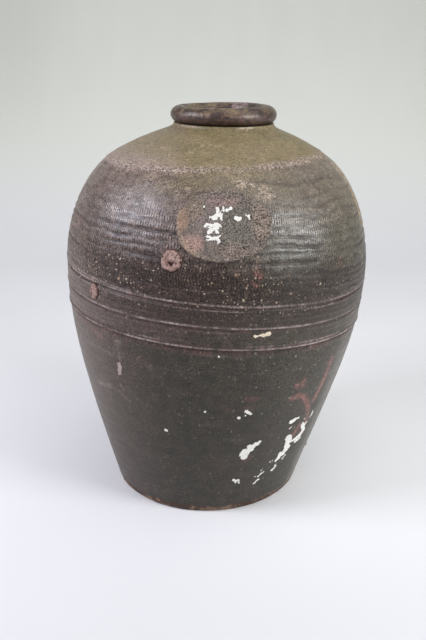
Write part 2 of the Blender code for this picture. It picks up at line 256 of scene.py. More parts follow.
def seam_relief(place, height, wear):
    """The seam's double lip: relief, ridges (wear and painted highlight) and grooves (painted shade)."""
    level = place * (1, 1, 0)
    above = height - SEAM_HEIGHT
    relief = np.where(above >= 0, form(above, *SEAM_LIP) + form(above, *SEAM_SWELL),
                      form(above, *SEAM_UNDERCUT))
    second = step_up(noise(level, 0.045, 20), -0.5, 0.3)
    rise = above - (SECOND_LIFT + SECOND_SWAY * noise(level, 0.060, 26))
    ridge = np.maximum(bell(above - RIDGE_LIFT, 0.0012), 0.8 * second * bell(rise, 0.0009)) * wear
    groove = np.maximum(bell(above + 0.0022, 0.0020), 0.8 * bell(above - 0.0024, 0.0011))
    return relief + second * form(rise, *SECOND_LIP), ridge, groove


def line_relief(place, angle, height):
    """The seam and the cut lines: relief, ridges (wear and painted highlight) and grooves (painted
    shade).
    """
    level = place * (1, 1, 0)
    drift = LINE_SWAY * noise(level, 0.070, 11)
    wear = 0.70 + lumps(place, (0.50, 0.020, 12), (0.35, 0.006, 17))
    relief, ridge, groove = seam_relief(place, height, wear)
    for number, middle in enumerate(LINE_HEIGHTS):
        depth = 0.80 + lumps(level, (0.45, 0.050, 13 + number), (0.35, 0.013, 15 + number))
        rise = height - middle - drift
        relief += depth * (form(rise - RIDGE_LIFT, *CUT_RIDGE) + form(rise + GROOVE_DROP, *CUT_GROOVE))
        ridge = np.maximum(ridge, bell(rise - RIDGE_LIFT, 0.0012) * wear * depth)
        groove = np.maximum(groove, bell(rise + 0.0020, 0.0014) * depth)
        twin = step_up(noise(level, 0.060, 18 + number), -0.25, 0.25)
        relief += twin * form(rise + TWIN_DROP, *CUT_TWIN)
        ridge = np.maximum(ridge, 0.55 * twin * wear * bell(rise + TWIN_DROP, 0.0007))
    left = -np.degrees(angle)
    branch = height - LINE_HEIGHTS[1] - BRANCH_LIFT - BRANCH_SPREAD * step_up(left, 22, 62)
    drawn = zone(left, (18, 30), (75, 95))
    relief += form(branch, *BRANCH) * drawn
    ridge = np.maximum(ridge, 0.8 * bell(branch, 0.0008) * wear * drawn)
    return relief, np.clip(ridge, 0, 1), np.clip(groove, 0, 1)


def ring_bands(height):
    """Which band between two throwing rings a height is in, and how far up it."""
    edges = np.array([0.27] + [ring[0] for ring in RINGS] + [0.43])
    band = np.clip(np.searchsorted(edges, height) - 1, 0, len(edges) - 2)
    return band, np.clip((height - edges[band]) / (edges[band + 1] - edges[band]), 0, 1)


def hatch_marks(place, height, band, share):
    """Where the rows of small upright ribs of a grooved paddle start, and how strong they are."""
    phase = 2.4 * band + lumps(place, (2.2, 0.026, 21), (3.0, 0.075, 24))
    strength = 0.55 + lumps(place, (0.75, 0.024, 22), (0.35, 0.008, 23))
    return phase, np.clip(strength, 0, 1.2) * zone(height, *PADDLED) * np.sqrt(np.sin(math.pi * share))


def ring_relief(place, angle, height, drift):
    """Throwing rings and faint turning lines: relief, how deep in a ring (painted shade), and ridges
    (wear and painted highlight).
    """
    level = place * (1, 1, 0.35)
    relief, shallow, ridge = (np.zeros(height.shape) for _ in range(3))
    for number, (middle, depth, width) in enumerate(RINGS):
        near = np.abs(height - middle) < RING_REACH
        strength = 0.66 + 0.90 * noise(level[near], 0.038, 30 + number)
        strength += 0.65 * noise(place[near], 0.014, 60 + number)
        dip = bell(height[near] - middle - drift[near], width) * np.clip(strength, 0.05, 1.35)
        relief[near] -= depth * dip
        shallow[near] = np.maximum(shallow[near], dip)
    for number, (middle, depth) in enumerate(FAINT_RINGS):
        near = np.abs(height - middle) < RING_REACH
        strength = np.clip(0.5 + noise(level[near], 0.040, 50 + number), 0, 1.2)
        strength *= 0.35 + 0.65 * step_up(np.abs(np.sin(angle[near])), 0.45, 0.85)
        rise = height[near] - middle - 0.4 * drift[near]
        relief[near] += strength * form(rise, depth, 0.0011)
        ridge[near] = np.maximum(ridge[near], 0.25 * strength * bell(rise, 0.0009))
    return relief, np.clip(shallow, 0, 1), ridge


def wall_relief(angle, height):
    """Relief of the outer wall in metres, with its ridge and groove masks and its ribs' marks."""
    place = upright(wall_radius(height), height, angle)
    relief, ridge, groove = line_relief(place, angle, height)
    for width, rise, belly_rise, seed in UNEVENNESS:
        relief += (rise + belly_rise * zone(height, *ROUGH_BELLY)) * noise(place, width, seed)
    drift = RING_SWAY * noise(place * (1, 1, 0.35), 0.042, 5) + RING_SHAKE * noise(place, 0.014, 6)
    rings, shallow, faint = ring_relief(place, angle, height, drift)
    relief += rings
    ridge = np.maximum(ridge, faint)
    band, share = ring_bands(height - drift)
    swell = (0.5 + 0.9 * noise(place, 0.030, 25)) * step_up(height, 0.320, 0.340)
    swell = swell * (1 - 0.75 * step_up(height, 0.362, 0.380))
    relief += RING_SWELL * swell * np.sin(math.pi * share) ** 2
    phase, ribbed = hatch_marks(place, height, band, share)
    ribbed = ribbed * (1 - shallow)
    relief += RIB_HEIGHT * ribbed * np.sin(HATCH_COUNT * angle + phase)
    turning = TURNING_MARK + CAP_TURNING_MARK * step_up(height, 0.41, 0.43)
    turning = turning * noise(place * (0.12, 0.12, 1), 0.0034, 7)
    relief += turning * (1 - step_up(height, 0.447, 0.452))
    belt = bell(height - SHOULDER_LINE - SHOULDER_LINE_SLOPE * place[..., 0], BELT_HALF_WIDTH)
    relief += belt * (BELT_RISE + BELT_ROUGHNESS * noise(place, 0.0055, 8))
    foot = 1 - step_up(height, 0.004, 0.016)
    relief += foot * FOOT_WEAR * (noise(place, 0.012, 9) - 0.6 * np.clip(noise(place, 0.006, 10), 0, 1))
    return relief, ridge, np.maximum(groove, 0.9 * shallow), phase, ribbed


def marks_of(*rows):
    """Lines between two places of the wall: degrees and millimetres up for both ends, half-width
    in millimetres and perhaps a strength."""
    return [((first, low / 1000), (last, high / 1000), width / 1000, *strength)
            for first, low, last, high, width, *strength in rows]


# Old marks on the glaze, each with its strength; two of the pale lines, just under the rim, are painted
# highlights
RED_SMEARS = marks_of(
    (33.2, 166.8, 36, 168.9, 2.8, 0.7), (36, 168.9, 40.4, 164, 3.4, 0.85),
    (40.4, 164, 45.2, 149.1, 3.4, 0.85), (45.2, 149.1, 47.9, 135.5, 3.4, 0.8),
    (47.9, 135.5, 49.2, 120.6, 3.4, 0.75), (49.2, 120.6, 49.4, 100, 4.2, 0.65),
    (45, 118, 41.5, 98.5, 3.2, 0.7), (52.2, 206, 52, 190, 3.4, 0.65), (52, 190, 51, 173, 4.2, 0.72),
    (51, 173, 49, 152, 4, 0.72), (49.6, 203, 54.4, 204, 2.8, 0.35), (34, 185, 38.4, 183.6, 3, 0.65),
    (37.6, 190.5, 36.2, 181.2, 2.6, 0.65), (12.5, 331, 12, 325, 3, 0.22),
    (12.2, 322, 13.2, 320, 3.6, 0.48), (11.4, 312, 12.6, 310, 2.6, 0.3), (3.5, 166, 6.5, 161, 3.2, 0.1),
    (14, 163, 16, 158, 3.2, 0.12), (17, 84, 20, 86, 3, 0.28), (47, 330, 47, 326, 4, 0.22),
    (-42, 238, -44, 232, 4, 0.2), (-50.8, 228, -45.3, 225, 4, 0.28), (-63, 352, -66, 336, 4, 0.25),
    (13.1, 176, 17.6, 174, 3.4, 0.22), (4, 86, 8, 70, 8, 0.06))
PALE_SMEARS_AND_HIGHLIGHTS = marks_of(
    (-54.5, 156.2, -44.9, 162.7, 2.4, 0.6), (-44.9, 162.7, -39.3, 159.8, 1.3, 0.6),
    (-39.3, 159.8, -35.8, 153, 1.5, 0.65), (-38.3, 170.8, -37, 165, 1.4, 0.5),
    (-38.2, 226.3, -35.2, 227.9, 1.6, 0.55), (-16.1, 436.3, -14.4, 436.3, 1, 0.6),
    (-11.4, 436.6, -1.9, 437, 0.9, 0.5), (-21.8, 429.8, -18.6, 429.8, 1, 0.6),
    # The two lines at 452.1 mm, just under the rim, are painted highlights on the neck
    (-41.5, 431.1, -36.9, 431.5, 1.2, 0.45), (14, 452.1, 33, 452.3, 0.9, 0.9),
    (-53, 452.1, -33, 452.1, 0.9, 0.6), (-37, 226, -36.4, 206, 2.6, 0.42),
    (-42, 205.2, -41.5, 205.2, 1.8, 0.45), (-30.1, 193, -29, 191, 1, 0.3), (6, 118, 14, 116, 1.4, 0.16),
    (-4, 139, 4, 137, 1.6, 0.14), (3, 408, 7.5, 408.3, 1.6, 0.8), (7, 406.6, 11.5, 405.2, 1.8, 0.8),
    (9, 403.6, 5.5, 404, 1.4, 0.7), (12.5, 404, 14.5, 399.6, 2.2, 0.7),
    (14.5, 399, 18, 394.5, 3.4, 0.75), (16.5, 402.5, 19, 401, 1.6, 0.5),
    (19.5, 395.5, 20.5, 395, 1.2, 0.6), (-18.6, 396.2, -18, 392.5, 3, 0.45),
    (-14.6, 399, -14.4, 396.5, 2.6, 0.45), (-34, 404.5, -32, 404, 3, 0.4),
    (-24, 399, -22, 399, 2.8, 0.3), (118, 210, 131, 180, 2.2, 0.45), (160, 330, 172, 322, 2.6, 0.4),
    (-140, 150, -132, 120, 2.4, 0.4), (-110, 262, -104, 270, 2.4, 0.35))
BUFF_SMEARS = marks_of(
    (76, 414, 77, 396, 10, 0.55), (77, 396, 74, 360, 8.5, 0.6), (-100, 404, -96, 370, 7, 0.5),
    (150, 410, 158, 372, 8, 0.6))


def smears(angle, height, marks):
    total = np.zeros(height.shape)
    for start, end, width, strength in marks:
        total = np.maximum(total, strength * bell(stroke(angle, height, start, end), width))
    return total


# Meshes


def shown(name, mesh, material, slot, *nodes):
    """Puts a finished mesh in the scene, in place of the solids that it stands for."""
    mesh.materials.append(material)
    item = bpy.data.objects.new(name, mesh)
    bpy.context.scene.collection.objects.link(item)
    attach(item, BODY)
    if nodes:
        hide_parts(*nodes)
    return item


def mesh_from(name, points, faces, marks=None, sharp=50):
    """A smooth-shaded mesh of upright points, leaned, with its marks kept as attributes."""
    mesh = bpy.data.meshes.new(name)
    flat = points.reshape(-1, 3)
    mesh.from_pydata(leaned(flat).tolist(), [], faces)
    mesh.shade_smooth()
    mesh.set_sharp_from_angle(angle=math.radians(sharp))
    place = mesh.attributes.new("upright", "FLOAT_VECTOR", "POINT")
    place.data.foreach_set("vector", flat.astype(np.float32).ravel())
    for key, values in (marks or {}).items():
        kind, field = ("FLOAT_VECTOR", "vector") if values.shape[-1] == 3 else ("FLOAT", "value")
        mark = mesh.attributes.new(key, kind, "POINT")
        mark.data.foreach_set(field, values.astype(np.float32).ravel())
    return mesh


def ring_faces(rows, count, close=True):
    """Quads between rows of a turned body, whose last row joins its first if it closes."""
    row = np.arange(rows if close else rows - 1)[:, None]
    column = np.arange(count)[None, :]
    after, above = (column + 1) % count, (row + 1) % rows
    return np.stack([row * count + column, row * count + after, above * count + after,
                     above * count + column], -1).reshape(-1, 4).tolist()


def fan(pole, first, count, turned=False):
    """Triangles between a pole and the closed row of points that starts at the first."""
    row = list(range(first, first + count))
    pairs = zip(row, row[1:] + row[:1])
    return [(pole, after, point) if turned else (pole, point, after) for point, after in pairs]


def dense_rows(low, high, count, close_at=(), width=0.003, gain=4):
    """Heights from low to high that lie closer together near the given ones."""
    fine = np.linspace(low, high, 4000)
    weight = 1 + gain * sum(bell(fine - place, width) for place in close_at)
    total = np.concatenate([[0], np.cumsum((weight[1:] + weight[:-1]) / 2)])
    return np.interp(np.linspace(0, total[-1], count), total, fine)


def turns(segments):
    return np.linspace(-math.pi, math.pi, segments, endpoint=False)


def wall_rows(heights, segments=SEGMENTS):
    """Upright points and marks of outer rows at these heights."""
    height, angle = np.meshgrid(heights, turns(segments), indexing="ij")
    relief, ridge, groove, phase, ribbed = wall_relief(angle, height)
    radius, lifted = skin(height, relief)
    marks = {"ridge": ridge, "groove": groove, "phase": phase, "rib": ribbed,
             "red": smears(angle, height, RED_SMEARS), "pale": smears(angle, height, PALE_SMEARS_AND_HIGHLIGHTS),
             "buff": smears(angle, height, BUFF_SMEARS), "inside": 0 * height}
    return upright(radius, lifted, angle), marks


def inside_rows(pairs, segments=SEGMENTS):
    """Upright points of hidden and inner rows from (radius, height) pairs."""
    pairs = np.array(pairs)
    radius, angle = np.meshgrid(pairs[:, 0], turns(segments), indexing="ij")
    height = pairs[:, 1][:, None] + 0 * angle
    return upright(radius, height, angle)


def wall_section(name, node, slot, heights, inner, material, segments=SEGMENTS):
    """One section of the pot: fine outer rows, then its joint faces and inner rows."""
    points, marks = wall_rows(heights, segments)
    hidden = inside_rows(inner, segments)
    blank = np.zeros(hidden.shape[:2])
    marks = {key: np.concatenate([values, blank]) for key, values in marks.items()}
    marks["inside"][len(heights):] = 1
    points = np.concatenate([points, hidden])
    mesh = mesh_from(name, points, ring_faces(len(points), segments), marks)
    return shown(name, mesh, material, slot, node)


def inner_run(high, low, count):
    return [inner_skin(height) for height in np.linspace(high, low, count)]


def cove(seat, top):
    """The hollow corner where the wall's inside meets the floor."""
    wall = inner_skin(top)
    toe = float(wall_radius(seat)) - float(np.interp(seat, (0, SEAM_HEIGHT), (FOOT_WALL, BODY_WALL)))
    toe -= FOOT_COVE
    return [(toe + (wall[0] - toe) * math.cos(turn),
             wall[1] - (wall[1] - seat) * math.sin(turn)) for turn in np.linspace(0, math.pi / 2, 5)]


def base_slab(material):
    """The clay disc, with its bare, chipped edge."""
    seat_edge = FOOT_RADIUS - SEAT_INSET
    heights = [*EDGE_HEIGHTS[:2], *np.linspace(EDGE_HEIGHTS[2], FLOOR_THICKNESS, 10)]
    side, marks = wall_rows(heights)
    for row, wear in enumerate(EDGE_WEAR):
        side[row, :, :2] *= 1 - wear / FOOT_RADIUS
    lower = inside_rows([(seat_edge * 0.35, 0), (seat_edge * 0.7, 0), (seat_edge, 0)])
    upper = inside_rows([(FOOT_RADIUS * 0.7, FLOOR_THICKNESS), (FOOT_RADIUS * 0.35, FLOOR_THICKNESS)])
    rows = np.concatenate([lower, side, upper])
    added_rows = ((len(lower), len(upper)), (0, 0))
    marks = {key: np.append(np.pad(values, added_rows), (0, 0)) for key, values in marks.items()}
    points = np.concatenate([rows.reshape(-1, 3), [(0, 0, 0), (0, 0, FLOOR_THICKNESS)]])
    faces = ring_faces(len(rows), SEGMENTS, close=False)
    pole = len(rows) * SEGMENTS
    faces += fan(pole, 0, SEGMENTS, True) + fan(pole + 1, pole - SEGMENTS, SEGMENTS)
    mesh = mesh_from("base_slab", points, faces, marks)
    return shown("base_slab_skin", mesh, material, "bare_foot_clay", "base_slab")


def wall_sections(glaze):
    seat = FLOOR_THICKNESS + JOINT_GAP
    seam_top, band_top = SEAM_HEIGHT + SEAM_LAP, BAND_HEIGHT + SEAM_LAP
    wall_section("lower_wall_skin", "lower_wall", "lower_glaze",
                 dense_rows(FLOOR_THICKNESS, SEAM_HEIGHT, LOWER_ROWS, (SEAM_HEIGHT,)),
                 inner_run(seam_top, seat + FOOT_COVE, 8)[:-1] + cove(seat, seat + FOOT_COVE), glaze)
    wall_section("belly_band_skin", "belly_band", "band_glaze",
                 dense_rows(SEAM_HEIGHT, BAND_HEIGHT, BAND_ROWS,
                            (SEAM_HEIGHT, LINE_HEIGHTS[0], BAND_HEIGHT)),
                 inner_run(band_top, seam_top, 4), glaze)
    stops = (BAND_HEIGHT, *BELLY_SPLITS, SHOULDER_HEIGHT)
    inner_stops = (band_top, *BELLY_SPLITS)
    for name, low, high, inner_low in zip(("lower", "middle", "upper"), stops, stops[1:], inner_stops):
        wall_section("belly_wall_" + name, "belly_wall", "belly_glaze",
                     even_heights(low, high, BELLY_ROWS), inner_run(high, inner_low, 3), glaze,
                     BELLY_SEGMENTS)
    wall_section("shoulder_cap_skin", "shoulder_cap", "olive_ash_glaze",
                 even_heights(SHOULDER_HEIGHT, COLLAR_HEIGHT, CAP_ROWS),
                 inner_run(COLLAR_HEIGHT, SHOULDER_HEIGHT, 6), glaze)
    wall_section("neck_collar_skin", "neck_collar", "neck_glaze",
                 even_heights(COLLAR_HEIGHT, NECK_HEIGHT, NECK_ROWS),
                 inner_run(NECK_HEIGHT, COLLAR_HEIGHT, 5), glaze)


def even_heights(low, high, count):
    """Heights that are evenly spaced along the curve of the wall."""
    ends = np.interp((low, high), HEIGHTS, ARCS)
    return np.interp(np.linspace(*ends, count), ARCS, HEIGHTS)


# Lumps of the rim's roll, and how far they lie below the plain roll
RIM_LUMPS = ((0.00035, 0.026, 71), (0.00018, 0.010, 72), (0.00007, 0.0034, 73))
RIM_SETBACK = 0.0002


def rolled_rim(material):
    """The thick roll of clay round the mouth, a little lumpy from the potter's fingers."""
    half_width = (RIM_RADIUS - MOUTH_RADIUS) / 2
    half_depth = (JAR_HEIGHT - NECK_HEIGHT - JOINT_GAP) / RIM_DEPTH_SHARE
    seat_turn = math.asin(RIM_SEAT_SINE)
    turn, angle = np.meshgrid(np.linspace(-seat_turn, math.pi + seat_turn, RIM_ROWS), turns(SEGMENTS),
                              indexing="ij")
    middle_radius, middle_height = MOUTH_RADIUS + half_width, JAR_HEIGHT - half_depth
    plain = upright(middle_radius + half_width * np.cos(turn),
                    middle_height + half_depth * np.sin(turn), angle)
    proud = lumps(plain, *RIM_LUMPS) - RIM_SETBACK
    points = upright(middle_radius + (half_width + proud) * np.cos(turn),
                     middle_height + (half_depth + proud) * np.sin(turn), angle)
    points[..., 2] = np.maximum(points[..., 2], NECK_HEIGHT + JOINT_GAP / 2)
    mesh = mesh_from("rolled_rim", points, ring_faces(len(points), SEGMENTS), sharp=70)
    return shown("rolled_rim_skin", mesh, material, "rim_glaze", "rolled_rim")


# Clay fused to the wall

PAD_MIDDLE = 0.3681
PAD_ANGLE = math.radians(1.1)
PAD_HALF_WIDTH = 0.0495
PAD_HALF_HEIGHT = 0.0376
PAD_MARGIN = 1.03
PAD_THICKNESS, PAD_RAISED_EDGE, PAD_PIT_DEPTH = 0.0014, 0.00045, 0.0008
PAD_LUMPS = ((0.00030, 0.014, 83), (0.00022, 0.0052, 84), (0.00012, 0.0026, 85))
# How far the faces of the pad and the lumps run into the wall at their edges
EDGE_DIP = 0.0016
# Lumps of kiln clay: degrees, height, half-width, half-height, crown and noise seed, and then the
# pits of each: across, up, size and depth
UPPER_WAD = ((-16.1, 0.329, 0.0120, 0.0122, 0.0024, 101),
             ((0.0010, -0.0034, 0.0022, 0.0024), (-0.0012, -0.0016, 0.0018, 0.0018),
              (0.0034, -0.0014, 0.0016, 0.0014), (-0.0052, 0.0034, 0.0011, 0.0011),
              (0.0046, 0.0040, 0.0010, 0.0012), (0.0062, -0.0020, 0.0010, 0.0014),
              (-0.0030, 0.0062, 0.0008, 0.0010), (0.0010, 0.0050, 0.0008, 0.0008)))
SIDE_WAD = ((-47.1, 0.2759, 0.0082, 0.0098, 0.0022, 111), ((0.0030, 0.0026, 0.0011, 0.0010),))
FOOT_LUMP = ((84.0, 0.041, 0.0086, 0.0080, 0.0034, 121), ((0, 0.0048, 0.0036, 0.0018),))


def wall_place(across, up, angle, height):
    """Angle and height of a place this far across and up the wall from another one."""
    arc = np.interp(height, HEIGHTS, ARCS) + up
    there = np.interp(arc, ARCS, HEIGHTS)
    return angle + np.arcsin(np.clip(across / wall_radius(there), -1, 1)), there


def pad_corner(across, up):
    """How much further than an oval the pad reaches: its lower left is squarer."""
    side, rise = across / PAD_HALF_WIDTH, up / PAD_HALF_HEIGHT
    turned = np.arctan2(-rise, -side)
    return 1 + 0.12 * np.where((side < 0) & (rise < 0), np.sin(2 * turned) ** 2, 0)


def on_sheet(across, up, seed=0):
    """Places on a flat sheet, for noise."""
    return np.stack([across, up, 0 * across + seed], -1)


def pad_proud(across, up):
    """How far the pad's rough face stands off the plain wall."""
    place = on_sheet(across, up)
    reach = np.hypot(across / PAD_HALF_WIDTH, up / PAD_HALF_HEIGHT) / pad_corner(across, up)
    edge = reach + lumps(place, (0.03, 0.020, 81), (0.016, 0.006, 82))
    face = PAD_THICKNESS + PAD_RAISED_EDGE * bell(edge - 0.93, 0.07) + lumps(place, *PAD_LUMPS)
    face -= PAD_PIT_DEPTH * np.clip(noise(place, 0.0034, 86) - 0.45, 0, 1)
    return face * (1 - step_up(edge, 0.955, 1.0)) - EDGE_DIP * step_up(edge, 0.96, 1.01)


def polar_mesh(name, across, up, proud, depth, angle, height):
    """A closed lump from polar rows of points: a front face, a skirt and a flat back."""
    rows, count = across.shape
    turned, there = wall_place(across, up, angle, height)
    radius, lifted = skin(there, proud)
    front = upright(radius, lifted, turned)
    back_radius, back_height = skin(there[-1], depth + 0 * there[-1])
    back = upright(back_radius, back_height, turned[-1])[None]
    turned_middle, there_middle = wall_place(np.zeros(1), np.zeros(1), angle, height)
    tips = []
    for level in (proud[0].mean(), depth):
        tip_radius, tip_height = skin(there_middle, level)
        tips.append(upright(tip_radius, tip_height, turned_middle)[0])
    points = np.concatenate([front, back]).reshape(-1, 3)
    points = np.concatenate([points, tips])
    local = np.stack([across, up, proud], -1)
    local = np.concatenate([local, local[-1:]]).reshape(-1, 3)
    local = np.concatenate([local, [(0, 0, proud[0].mean()), (0, 0, 0)]])
    faces = [tuple(reversed(face)) for face in ring_faces(rows + 1, count, close=False)]
    pole = len(points) - 2
    faces += fan(pole, 0, count) + fan(pole + 1, pole - count, count, True)
    return mesh_from(name, points, faces, {"local": local}, sharp=65)


def polar_grid(rows, count, half_width, half_height, start=0.02):
    reach = np.linspace(start, 1.0, rows) ** 0.85
    reach, turn = np.meshgrid(reach, np.linspace(0, math.tau, count, endpoint=False), indexing="ij")
    return reach * half_width * np.cos(turn), reach * half_height * np.sin(turn)


def shoulder_pad(material):
    across, up = polar_grid(*PAD_GRID, PAD_HALF_WIDTH * PAD_MARGIN, PAD_HALF_HEIGHT * PAD_MARGIN)
    corner = pad_corner(across, up)
    across, up = across * corner, up * corner
    mesh = polar_mesh("shoulder_pad", across, up, pad_proud(across, up), -0.002, PAD_ANGLE, PAD_MIDDLE)
    return shown("shoulder_pad_skin", mesh, material, "pad_clay", "shoulder_pad")


def kiln_wad(name, wad, material, slot, flat=0.74, unevenness=0.10):
    """A lump of kiln clay: a low mound with a worn edge and pressed or broken pits."""
    (degrees, height, half_width, half_height, crown, seed), pits = wad
    across, up = polar_grid(*WAD_GRID, half_width, half_height)
    place = on_sheet(across, up, seed)
    reach = np.hypot(across / half_width, up / half_height)
    edge = reach + unevenness * noise(place, half_width * 0.55, seed)
    proud = crown * (1 - step_up(edge, flat, 1.0)) - EDGE_DIP * step_up(edge, 0.88, 1.05)
    proud += crown * 0.3 * noise(place, half_width * 0.3, seed + 1)
    for pit_across, pit_up, size, depth in pits:
        proud -= depth * bell(np.hypot(across - pit_across, up - pit_up), size)
    mesh = polar_mesh(name, across, up, proud, -0.003, math.radians(degrees), height)
    return shown(name + "_skin", mesh, material, slot, name)


# Thin flakes that lie on the wall or on the pad

# White flakes of the pad, in millimetres: across and up from its middle for both ends of a line,
# and its half-width
PAD_FLAKES = (
    (-21.9, 17.5, -21.9, 17.2, 1.3), (4, 17, 0.6, 14.4, 1.3), (4.7, 17.9, 5.1, 17.1, 0.6),
    (-3.3, 18.7, -2.5, 14.5, 0.6), (-4.7, 14.9, -2.2, 14.2, 0.7), (-8.6, 16, -8.1, 11.2, 1.6),
    (-7.3, 11.2, -4.8, 9.7, 2), (-7.6, 9.8, -6.2, 9, 1.8), (-11.9, 6.8, -8.2, 8.6, 2.2),
    (-14.7, 7.1, -12.2, 6.1, 0.9), (-5.1, 8.3, -3.7, 4.7, 1.1), (10.2, 7, 14.8, 7.5, 1.5),
    (11.7, 7.9, 13, 6.6, 1.6), (20.5, 10.1, 23.6, 9.7, 0.9), (23, 9.4, 23.7, 7.1, 1.1),
    (-20.9, -2.1, -18.5, -2.1, 0.7), (-16.8, -1.1, -13.3, -1.1, 1.7), (-16.3, -3.2, -13.9, -2.8, 0.9),
    (-9.8, -0.4, -6.4, -1.5, 1.8), (-10.6, -3.9, -7.6, -2.8, 1.8), (-15, -7.5, -12.6, -5.6, 1.7),
    (-15.9, -8.9, -13.8, -8.9, 1.1), (-9.1, -5.3, -6.8, -8.4, 1.2), (-6.1, -1.1, -4.9, -2.1, 0.9),
    (-17.2, -12.8, -14, -13.6, 1.4), (-13.7, -14, -9.2, -14.5, 1.4), (-16.7, -15.7, -14.3, -15, 0.9),
    (-7.7, -13.7, -5, -11.6, 0.9), (-7.8, -14.7, -5.6, -16.6, 1.7), (7.2, -15, 7.3, -15.1, 0.6))
# Flakes and chips of the wall
WALL_FLAKES = marks_of(
    (13.9, 158.2, 15.1, 156.6, 1.7), (15.3, 154.9, 16.2, 153.7, 1), (14.4, 159.8, 14.7, 158.5, 0.7),
    (11.4, 149.8, 11.5, 148.8, 1.5), (14.1, 152.4, 14.3, 152.4, 0.4), (16.6, 89.1, 17.6, 95.3, 4.3),
    (15.5, 92.7, 16.2, 98.5, 3.2), (17.7, 97.9, 19.5, 99.8, 3.5), (18.5, 104.4, 20.3, 104.1, 2.9),
    (21, 107, 21.9, 106.6, 2.8), (22.2, 108.3, 22.7, 109.6, 2.1), (37.5, 129.7, 39.4, 130.6, 2.6),
    (39.4, 131.9, 41.6, 131.9, 1.5), (38.2, 118.6, 39, 120.6, 1), (41.4, 116.7, 41.5, 117.7, 0.6),
    (52.4, 123.8, 52.4, 129.7, 1.1), (51.4, 122.2, 52.1, 123.2, 0.7), (46.8, 124.5, 47.3, 124.8, 0.8),
    (47.2, 116, 49.9, 105, 2.9), (49.4, 113.8, 50.3, 116, 1.5), (50, 104.1, 49.3, 99.8, 3.2),
    (49, 98.5, 46.5, 96, 3.2), (49.5, 91.4, 46.6, 90.1, 2.6), (45.8, 95.6, 42.5, 94, 1.8),
    (39.3, 103.4, 40.7, 97.9, 4.6), (40.4, 96.3, 40.6, 88.8, 4), (42, 85.3, 40.3, 81, 3.9),
    (40.3, 81, 39.5, 77.5, 3.9), (37.7, 78.4, 37.5, 72.3, 3), (37.4, 72, 36.2, 69.4, 1.8),
    (42.3, 72, 40.8, 68.4, 1), (33.9, 72, 32.3, 70.7, 0.5), (37.7, 59, 35.7, 54.1, 1.7),
    (36.6, 60.6, 37.4, 62.6, 0.8), (29, 62.2, 28.1, 59.6, 0.4), (30.4, 56.7, 29.3, 54.1, 0.6),
    (29, 55.4, 27.6, 50.6, 0.8), (26.9, 50.9, 25.6, 51.5, 0.4), (27.8, 44.1, 26.4, 41.2, 1.5),
    (26.2, 40.5, 25.7, 39.5, 0.6), (13.6, 52.8, 14.1, 51.2, 1.2), (14.7, 50.9, 16.4, 50.2, 1.7),
    (16.2, 48, 16.6, 46, 0.9), (14.4, 48.6, 14.8, 47, 0.7), (1.6, 230.2, 1.8, 230, 0.9),
    (-18.8, 125, -18.4, 124, 1.1), (-2.2, 158, -2, 157.8, 0.8))
PALE_CHIPS = marks_of(
    (-38, 198.4, -36.5, 198.7, 1.2), (-36.9, 197, -36.9, 192.5, 3.1), (-37.4, 190, -37.5, 186, 2.5))
CREAM_CHIPS = marks_of((13.4, 254.8, 15.5, 255.6, 1.5), (15.8, 256, 18.2, 257.2, 2.2))

# Cell sizes and thicknesses of the flakes, how far they reach into the surface, the part of the
# pad where they lie, and the radius of the sheet on which the wall's flakes are drawn
WALL_FLAKE_STEP, PAD_FLAKE_STEP = 0.0003, 0.00035
FLAKE_THICKNESS, CHIP_THICKNESS, FLAKE_DEPTH = 0.0004, 0.0003, -0.0004
PAD_FLAKE_BOX = ((-0.026, -0.021), (0.030, 0.024))
PAD_FLAKE_GROWTH = 1.15
SHEET_RADIUS = 0.15


def flake_cells(low, high, step, distance_of):
    """Corner places of a grid of small cells, and which cells lie inside the outline."""
    counts = [int((top - bottom) / step) + 2 for bottom, top in zip(low, high)]
    first = low[0] + step * np.arange(counts[0])
    second = low[1] + step * np.arange(counts[1])
    across, up = np.meshgrid(first, second, indexing="ij")
    middle = distance_of(across[:-1, :-1] + step / 2, up[:-1, :-1] + step / 2) < 0
    return across, up, middle


def flake_mesh(name, across, up, inside, place_of, thickness, seed):
    """Closed plates over the cells that are inside, laid on the surface that place_of gives."""
    columns, rows = across.shape
    number = np.arange(columns * rows).reshape(columns, rows)
    rough = thickness * (1 + 0.35 * noise(on_sheet(across, up), 0.0022, seed))
    top, bottom = place_of(across, up, rough), place_of(across, up, 0 * rough + FLAKE_DEPTH)
    padded = np.pad(inside, 1)
    corners = [number[:-1, :-1], number[1:, :-1], number[1:, 1:], number[:-1, 1:]]
    cells = np.stack(corners, -1)[inside]
    shift = columns * rows
    faces = [cells, cells[:, ::-1] + shift]
    sides = ((0, -1, 0, 1), (1, 0, 1, 2), (0, 1, 2, 3), (-1, 0, 3, 0))
    for away_across, away_up, start, end in sides:
        beside = padded[1 + away_across:padded.shape[0] - 1 + away_across,
                        1 + away_up:padded.shape[1] - 1 + away_up]
        edge = inside & ~beside
        first, last = corners[start][edge], corners[end][edge]
        faces.append(np.stack([last, first, first + shift, last + shift], -1))
    faces = np.concatenate(faces)
    used, renumbered = np.unique(faces, return_inverse=True)
    points = np.concatenate([top.reshape(-1, 3), bottom.reshape(-1, 3)])[used]
    return mesh_from(name, points, renumbered.reshape(-1, 4).tolist(), sharp=40)


def ragged(distance, across, up, seed, size=0.0030, depth=0.0007):
    """A distance made uneven by two sizes of noise."""
    kinds = (depth, size, seed), (depth * 0.8, size * 0.45, seed + 1)
    return distance + lumps(on_sheet(across, up), *kinds)


